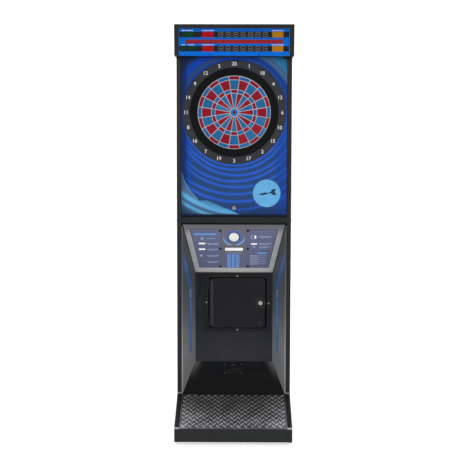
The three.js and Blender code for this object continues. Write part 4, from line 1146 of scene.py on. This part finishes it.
def overlays():
    for name, mirror in (("right", 1), ("left", -1)):
        part = Part(f"overlay_{name}", [OVERLAY], PANEL, "overlay_blue", f"instruction_overlay_{name}")
        outline = [(67.8, WINDOW_BOTTOM), (panel_half(WINDOW_BOTTOM, 31.2), WINDOW_BOTTOM),
                   (panel_half(WINDOW_TOP, 31.2), WINDOW_TOP), (67.8, WINDOW_TOP)]
        part.slab([(mirror * x, y) for x, y in outline], 0.1, 0.8, 0.25)
        part.build(30)

    # Painted shadow where the bezel's inner step meets the overlays.
    line = Part("overlay_edge_line", [BEZEL_SHADOW_LINE], PANEL)
    line.plate(panel_outline(WINDOW_TOP - 0.2, WINDOW_BOTTOM + 0.2, 31.5),
               [panel_outline(WINDOW_TOP - 2.6, WINDOW_BOTTOM + 2.6, 34.3)], 0.82, 0.98)
    line.build(30)

    pale = Part("overlay_print", [OVERLAY_PALE, OVERLAY_OLIVE, OVERLAY_WHITE, OVERLAY_SKY], PANEL)
    paragraph(pale, ((-65, -216, 122), (-72, -218, 118)), 5.4, 0, 3)
    printed(pale, [rounded(-155.5, -68.5, 120, 3.6, 1.5, 3)], 3)
    printed(pale, [arc_band(-174, -97, 3.2, 8, 0, 352, 32), circle(-179, -211, 7.5, 28)])
    printed(pale, [circle(-171, -250, 6.5, 28)], 1)
    printed(pale, [rounded(-174, -130, 35, 11, 1.5, 3), rounded(-174, -168, 35, 11, 1.5, 3)], 2)
    paragraph(pale, ((-97, -147, 48), (-129.5, -150, 70), (-136.5, -142, 60), (-167.5, -146, 64),
                     (-174.5, -138, 42), (-209.5, -150, 68), (-216.5, -142, 52), (-252, -146, 64),
                     (-259, -140, 46)))
    printed(pale, [arc_band(107, -87, 11.5, 15.5, 95, 265, 24)])
    printed(pale, [arc_band(109, -87, 3, 13, -75, 75, 16)], 2)
    printed(pale, [rounded(109, -132, 33, 10, 1.5, 3)], 2)
    printed(pale, [circle(110, -152, 5.5, 28)])
    paragraph(pale, ((-82, 136, 72), (-89, 140, 60), (-129, 136, 72), (-136, 136, 60), (-151, 136, 68),
                     (-158, 142, 48)), seed=3)
    printed(pale, [rounded(154, -193, 50, 9, 2, 3)], 3)
    for row in range(5):
        y = -210 - row * 13.6
        printed(pale, [rectangle(112, y - 6.4, 44, 1.4)])
        printed(pale, strokes(93, y, 37, 4.6, row))
        printed(pale, strokes(139, y, 38, 2.6, row + 2))
    printed(pale, [rectangle(x, -238, 1.4, 68) for x in (90, 134)])
    pale.build(30)


def ribbon(part, first, last):
    """Wide arc printed below the start button, tapered at both ends."""
    angles = [radians(first + (last - first) * i / 20) for i in range(21)]
    half = [RIBBON_HALF * min(1, 0.35 + 3 * min(i, 20 - i) / 20) for i in range(21)]
    outline = [spot(*START, RIBBON_RADIUS + h, a) for a, h in zip(angles, half)]
    outline += [spot(*START, RIBBON_RADIUS - h, a) for a, h in reversed(list(zip(angles, half)))]
    part.slab(outline, 1.55, 1.75)


def centre_plate():
    part = Part("centre_plate_sheet", [CENTRE], PANEL, "centre_grey", "centre_plate")
    sheet = rounded(0, (WINDOW_TOP + WINDOW_BOTTOM) / 2, 134.6, WINDOW_TOP - WINDOW_BOTTOM, 2, 3)
    holes = [circle(*START, 29.8, 48), rectangle(*SELECT, 107.4, 27.4)]
    part.plate(sheet, holes, 0.1, 1.5, 0.3)
    part.build(35)

    part = Part("panel_screws", [DARK_SCREW], PANEL)
    for y in (-46, -165, -285):
        for x in (-74, 76):
            part.screw(x, y, 0.75, 7.4, 3.2)
    part.build(35)

    part = Part("centre_print", [OVERLAY_SKY, OVERLAY, OVERLAY_PALE], PANEL)
    ribbon(part, 190, 261)
    ribbon(part, 279, 350)
    part.slab(rounded(0, -242, 112, 100, 2, 3), 1.52, 1.68, slot=1)
    for column in range(3):
        x = -27 + column * 24
        part.slab(rounded(x, -244, 18, 88, 1, 2), 1.6, 1.8)
        for row in range(7):
            part.slab(rectangle(x, -203 - row * 11.8, 17, 2.6), 1.75, 1.9, slot=1)
            part.slab(rounded(x + 4, -209 - row * 11.8, 6, 4.4, 1, 2), 1.75, 1.9, slot=1)
    for outline in strokes(-42, -191.5, 84, 3.4, 1):
        part.slab(outline, 1.65, 1.85, slot=2)
    part.build(30)


def start_button():
    housing = Part("start_ring", [RING_BLUE, RING_GAP], PANEL, "ring_blue", "start_button_housing")
    housing.hoop([(40.5, 1.6), (40.5, 2.6), (39.6, 3.9), (38.8, 4.7), (37.6, 5), (36.4, 4.9), (35.6, 4.2),
                  (35.2, 3.4), (34.9, 2.2), (34.9, 1.6)], START, 96)
    housing.hoop([(35, 1.6), (35, 2.6), (34.2, 3), (28.9, 3), (28, 2.8), (27.6, 1.8), (27.6, -23.9),
                  (29.1, -23.9), (29.1, 1.6)], START, 96, 1)
    for i in range(12):
        housing.turn([(1.3, 4.8), (1.3, 5.2), (0.8, 5.4), (0, 5.4)], spot(*START, 37.6, radians(30 * i)), 12)
    housing.build(35)

    cap = Part("start_cap", [WHITE], PANEL, "button_white", "start_button", body="start_button")
    cap.turn([(0, -26.9), (6, -26.9), (6, -10), (25, -10), (27, -9), (27, 8.6), (26.7, 9.5), (26, 10.1),
              (24.6, 10.5), (20.6, 10.9), (19.8, 10.6), (19, 10.6), (18.2, 11.1), (13, 11.6), (6, 11.9),
              (0, 12)], START, 72)
    cap.build(35)


def select_button():
    part = Part("select_surround", [TRIM], PANEL, "black_trim", "select_button_housing")
    hole = rounded(*SELECT, 101, 21, 3.2, 5)
    part.plate(rounded(*SELECT, 109, 29, 4.5, 5), [hole], 1.6, 3, 0.5)
    part.plate(rounded(*SELECT, 106, 26, 4, 5), [hole], -15.9, 2)
    part.plate(rounded(*SELECT, 106, 26, 4, 5), [rounded(*SELECT, 84, 10, 2, 3)], -17.4, -15.6)
    part.build(35)
    part = Part("select_cap", [OVERLAY_WHITE], PANEL, "button_white", "select_button", body="select_button")
    part.slab(rounded(*SELECT, 100, 20, 3, 5), -11.4, 5.2, 1.2, steps=4)
    part.slab(rounded(*SELECT, 12, 6, 1, 2), -19.9, -11)
    part.build(35)


bezel()
overlays()
centre_plate()
start_button()
select_button()


# ---------------------------------------------------------------- score header
DIGIT_CENTRES = [-70.4 + 38.8 * i for i in range(7)]
STRIP_Y = 74
STRIP_GRID = (140, 5)  # columns and lines of lamps in the message strip
PYRAMID = 4.8  # width of the small pyramids moulded in a lamp lens
ROWS = {"upper": 110.5, "lower": 37.5}
LENSES = {
    "upper": ((-242.3, 59.5, "green"), (-137.3, 59.5, "red"), (227, 58, "amber")),
    "lower": ((-265.2, 18.8, "green"), (-223.2, 34.9, "green"), (-137.3, 59.5, "red"), (227, 58, "amber")),
}
LENS_PAINT = {"green": LENS_GREEN, "red": LENS_RED, "amber": LENS_AMBER}


def lens_block(part, x, y, width, slot):
    """Moulded lamp lens: a border and a grid of small pyramids."""
    height = 29
    part.slab(rounded(x, y, width, height, 1.2, 3), -6.5, -0.9, 0.3, slot)
    columns, rows = max(2, round(width / PYRAMID)), 6
    dx, dy = (width - 2) / columns, (height - 2) / rows
    for i in range(columns):
        for j in range(rows):
            cx = x - width / 2 + 1 + (i + 0.5) * dx
            cy = y - height / 2 + 1 + (j + 0.5) * dy
            rings = [lifted(rectangle(cx, cy, dx * share, dy * share), z)
                     for share, z in ((0.98, -1), (0.9, -0.7), (0.35, -0.2))]
            part.loft(rings, slot, cap_start=False)


def lenses():
    for row, s in ROWS.items():
        paints = []
        for *_, color in LENSES[row]:
            if color not in paints:
                paints.append(color)
        for color in paints:
            part = Part(f"lens_{row}_{color}", [LENS_PAINT[color]], HEADER,
                        "lens_red" if color == "red" else None, f"lamp_lens_strip_{row}")
            for x, width, paint in LENSES[row]:
                if paint == color:
                    lens_block(part, x, s, width, 0)
            part.build(20)
        part = Part(f"lamp_tray_{row}", [HEADER_BLACK], HEADER)
        part.plate(rectangle(-7, s, 560, 32.4), [rectangle(46, s, 269.6, 29)], -7.6, -4.5)
        part.build(30)


def segment_bar(x, y, length, width, upright):
    """Six-sided display segment."""
    a, b = length / 2, width / 2
    points = [(-a, 0), (-a + b, -b), (a - b, -b), (a, 0), (a - b, b), (-a + b, b)]
    return [(x + (py if upright else px), y + (px if upright else py)) for px, py in points]


def seven_segments(x, y):
    """The seven bars of one numeral, with the slight slant such displays have."""
    w, h, lean = 23.5, 22.4, 0.03
    bars = [segment_bar(0, s * h / 2, w * 0.9, 3.6, False) for s in (-1, 0, 1)]
    bars += [segment_bar(sx * w / 2, sy * h / 4, h * 0.44, 3.6, True) for sx in (-1, 1) for sy in (-1, 1)]
    return [[(x + px + lean * py, y + py) for px, py in bar] for bar in bars]


def displays():
    for row, s in ROWS.items():
        part = Part(f"digit_board_{row}", [HEADER_BLACK, CIRCUIT], HEADER, "header_black",
                    f"score_display_{row}")
        part.slab(rectangle(46, s, 279, 33.4), -18, -16.4, slot=1)
        for x in DIGIT_CENTRES:
            part.slab(rounded(x, s, 36, 28.4, 0.8, 2), -17, -5.2, 0.4)
        part.build(30)
        part = Part(f"digit_bars_{row}", [DIGIT], HEADER)
        for x in DIGIT_CENTRES:
            for bar in seven_segments(x, s):
                part.slab(bar, -5.4, -4.8, 0.15)
            part.turn([(1.5, -5.4), (1.5, -4.9), (0, -4.8)], (x + 15.6, s - 11.4), 14)
        part.build(30)
    part = Part("message_strip", [STRIP_RED], HEADER, "lens_red", "message_display")
    part.slab(rectangle(0, STRIP_Y, 510, 20), -12, -2, 0.2)
    part.slab(rectangle(0, STRIP_Y, 516, 33.6), -13.6, -11.8)
    for column in range(STRIP_GRID[0]):
        for line in range(STRIP_GRID[1]):
            x, y = -252.9 + column * 3.64, STRIP_Y + (line - 2) * 3.8
            rings = [lifted(circle(x, y, 1.45 * share, 6), z)
                     for share, z in ((1, -2.1), (0.9, -1.75), (0.5, -1.55))]
            part.loft(rings, cap_start=False)
    part.build(20)


def header_print():
    """Near-black bands behind each row, printed labels and the panel's screws."""
    band = Part("header_bands", [HEADER_BLACK], HEADER)
    for row, s in ROWS.items():
        cuts = [(x - w / 2 - 0.7, x + w / 2 + 0.7) for x, w, _ in LENSES[row]]
        cuts.append((46 - 136.9, 46 + 136.9))
        at = -287.5
        for low, high in sorted(cuts):
            if low - at > 0.6:
                band.slab(rectangle((at + low) / 2, s, low - at, 27.5), -1.05, -0.82)
            at = high
        band.slab(rectangle((at + 286) / 2, s, 286 - at, 27.5), -1.05, -0.82)
    band.build(30)
    marks = Part("header_labels", [LABEL], HEADER)
    for row, s in ROWS.items():
        for index, (x, width, _) in enumerate(LENSES[row]):
            wide = min(width * 1.05, width + 8)
            for outline in strokes(x - wide / 2, s + 20, wide, 5, index + 2):
                marks.slab(outline, -1.02, -0.8)
    marks.build(30)
    screws = Part("header_screws", [DARK_SCREW], HEADER)
    for x in (-258, -129, 0, 129, 258):
        screws.screw(x, 8.5, -1.05, 3.6, 1.6)
    screws.build(35)


lenses()
displays()
header_print()


# ---------------------------------------------------------------- door badge
def badge():
    """Plain printed disc with a generic dart on it."""
    part = Part("door_badge", [BADGE, BADGE_RIM, BADGE_INK], FRONT, body="head_door")
    x, z = 175, 1296
    part.slab(circle(x, z, 77, 96), 50, 50.3, 0.15, 1)
    part.slab(circle(x, z, 73.6, 96), 50.2, 50.5, 0.1, 0)
    half = [(-52, 0), (-34, -2), (-32, -5), (-4, -6), (0, -2.8), (20, -2.4), (34, -16), (52, -16)]
    outline = half + [(44, 0)] + [(px, -py) for px, py in half[:0:-1]]
    lean = radians(10)
    dart = [(x + px * cos(lean) - py * sin(lean), z + px * sin(lean) + py * cos(lean))
            for px, py in outline]
    part.plate(dart, [], 50.4, 50.65, 0, 2)
    part.build(30)


badge()


# ---------------------------------------------------------------- studio
def area_light(name, place, size, power, aim):
    light = bpy.data.lights.new(name, "AREA")
    light.shape, light.size, light.size_y, light.energy = "RECTANGLE", size[0], size[1], power
    lamp = bpy.data.objects.new(name, light)
    lamp.location = place
    lamp.rotation_euler = (Vector(aim) - Vector(place)).to_track_quat("-Z", "Y").to_euler()
    bpy.context.scene.collection.objects.link(lamp)


def pale_floor():
    """Floor that curves up into a backdrop far behind the machine."""
    half, front, rear, bend, height = 14, -14, 8, 3, 12
    section = [(front, 0), (rear - bend, 0)]
    for i in range(1, 13):
        a = pi / 2 * i / 12
        section.append((rear - bend + bend * sin(a), bend - bend * cos(a)))
    section.append((rear, height))
    verts = [(x, y, z) for y, z in section for x in (-half, half)]
    faces = [[2 * i, 2 * i + 1, 2 * i + 3, 2 * i + 2] for i in range(len(section) - 1)]
    mesh = bpy.data.meshes.new("pale_floor")
    mesh.from_pydata(verts, [], faces)
    mesh.shade_smooth()
    g = Graph("pale_floor")
    tone = g.shaded((250, 250, 250), g.spread(g.noise(3), 0.3, 0.7, 0.985, 1))
    g.set(Base_Color=tone, Roughness=0.7, Specular_IOR_Level=0.2, Emission_Color=(255, 255, 255),
          Emission_Strength=0.62)
    mesh.materials.append(g.material)
    floor = bpy.data.objects.new("pale_floor", mesh)
    bpy.context.scene.collection.objects.link(floor)


def studio():
    scene = bpy.context.scene
    world = bpy.data.worlds.new("studio")
    world.use_nodes = True
    world.node_tree.nodes["Background"].inputs[0].default_value = (1, 1, 1, 1)
    world.node_tree.nodes["Background"].inputs[1].default_value = 0.22
    scene.world = world
    scene.view_settings.view_transform = "Standard"
    area_light("key", (-1.6, -6.5, 3.6), (3.4, 3.4), 105, (0, 0, 1.1))
    area_light("fill", (2.4, -6, 2.2), (3, 3.4), 70, (0, 0, 1))
    area_light("top", (0, -0.5, 5.2), (5, 5), 48, (0, 0, 0.5))
    area_light("rear", (0, 5.2, 3.4), (5, 4), 60, (0, 0, 1))

    camera = bpy.data.cameras.new("camera")
    camera.lens = 86.09
    camera.sensor_width = 36
    viewer = bpy.data.objects.new("camera", camera)
    viewer.location = (0.035, -5.940, 1.6625)
    viewer.rotation_euler = (radians(90 - 5.473), radians(-0.1), radians(0.556))
    scene.collection.objects.link(viewer)
    scene.camera = viewer


pale_floor()
studio()
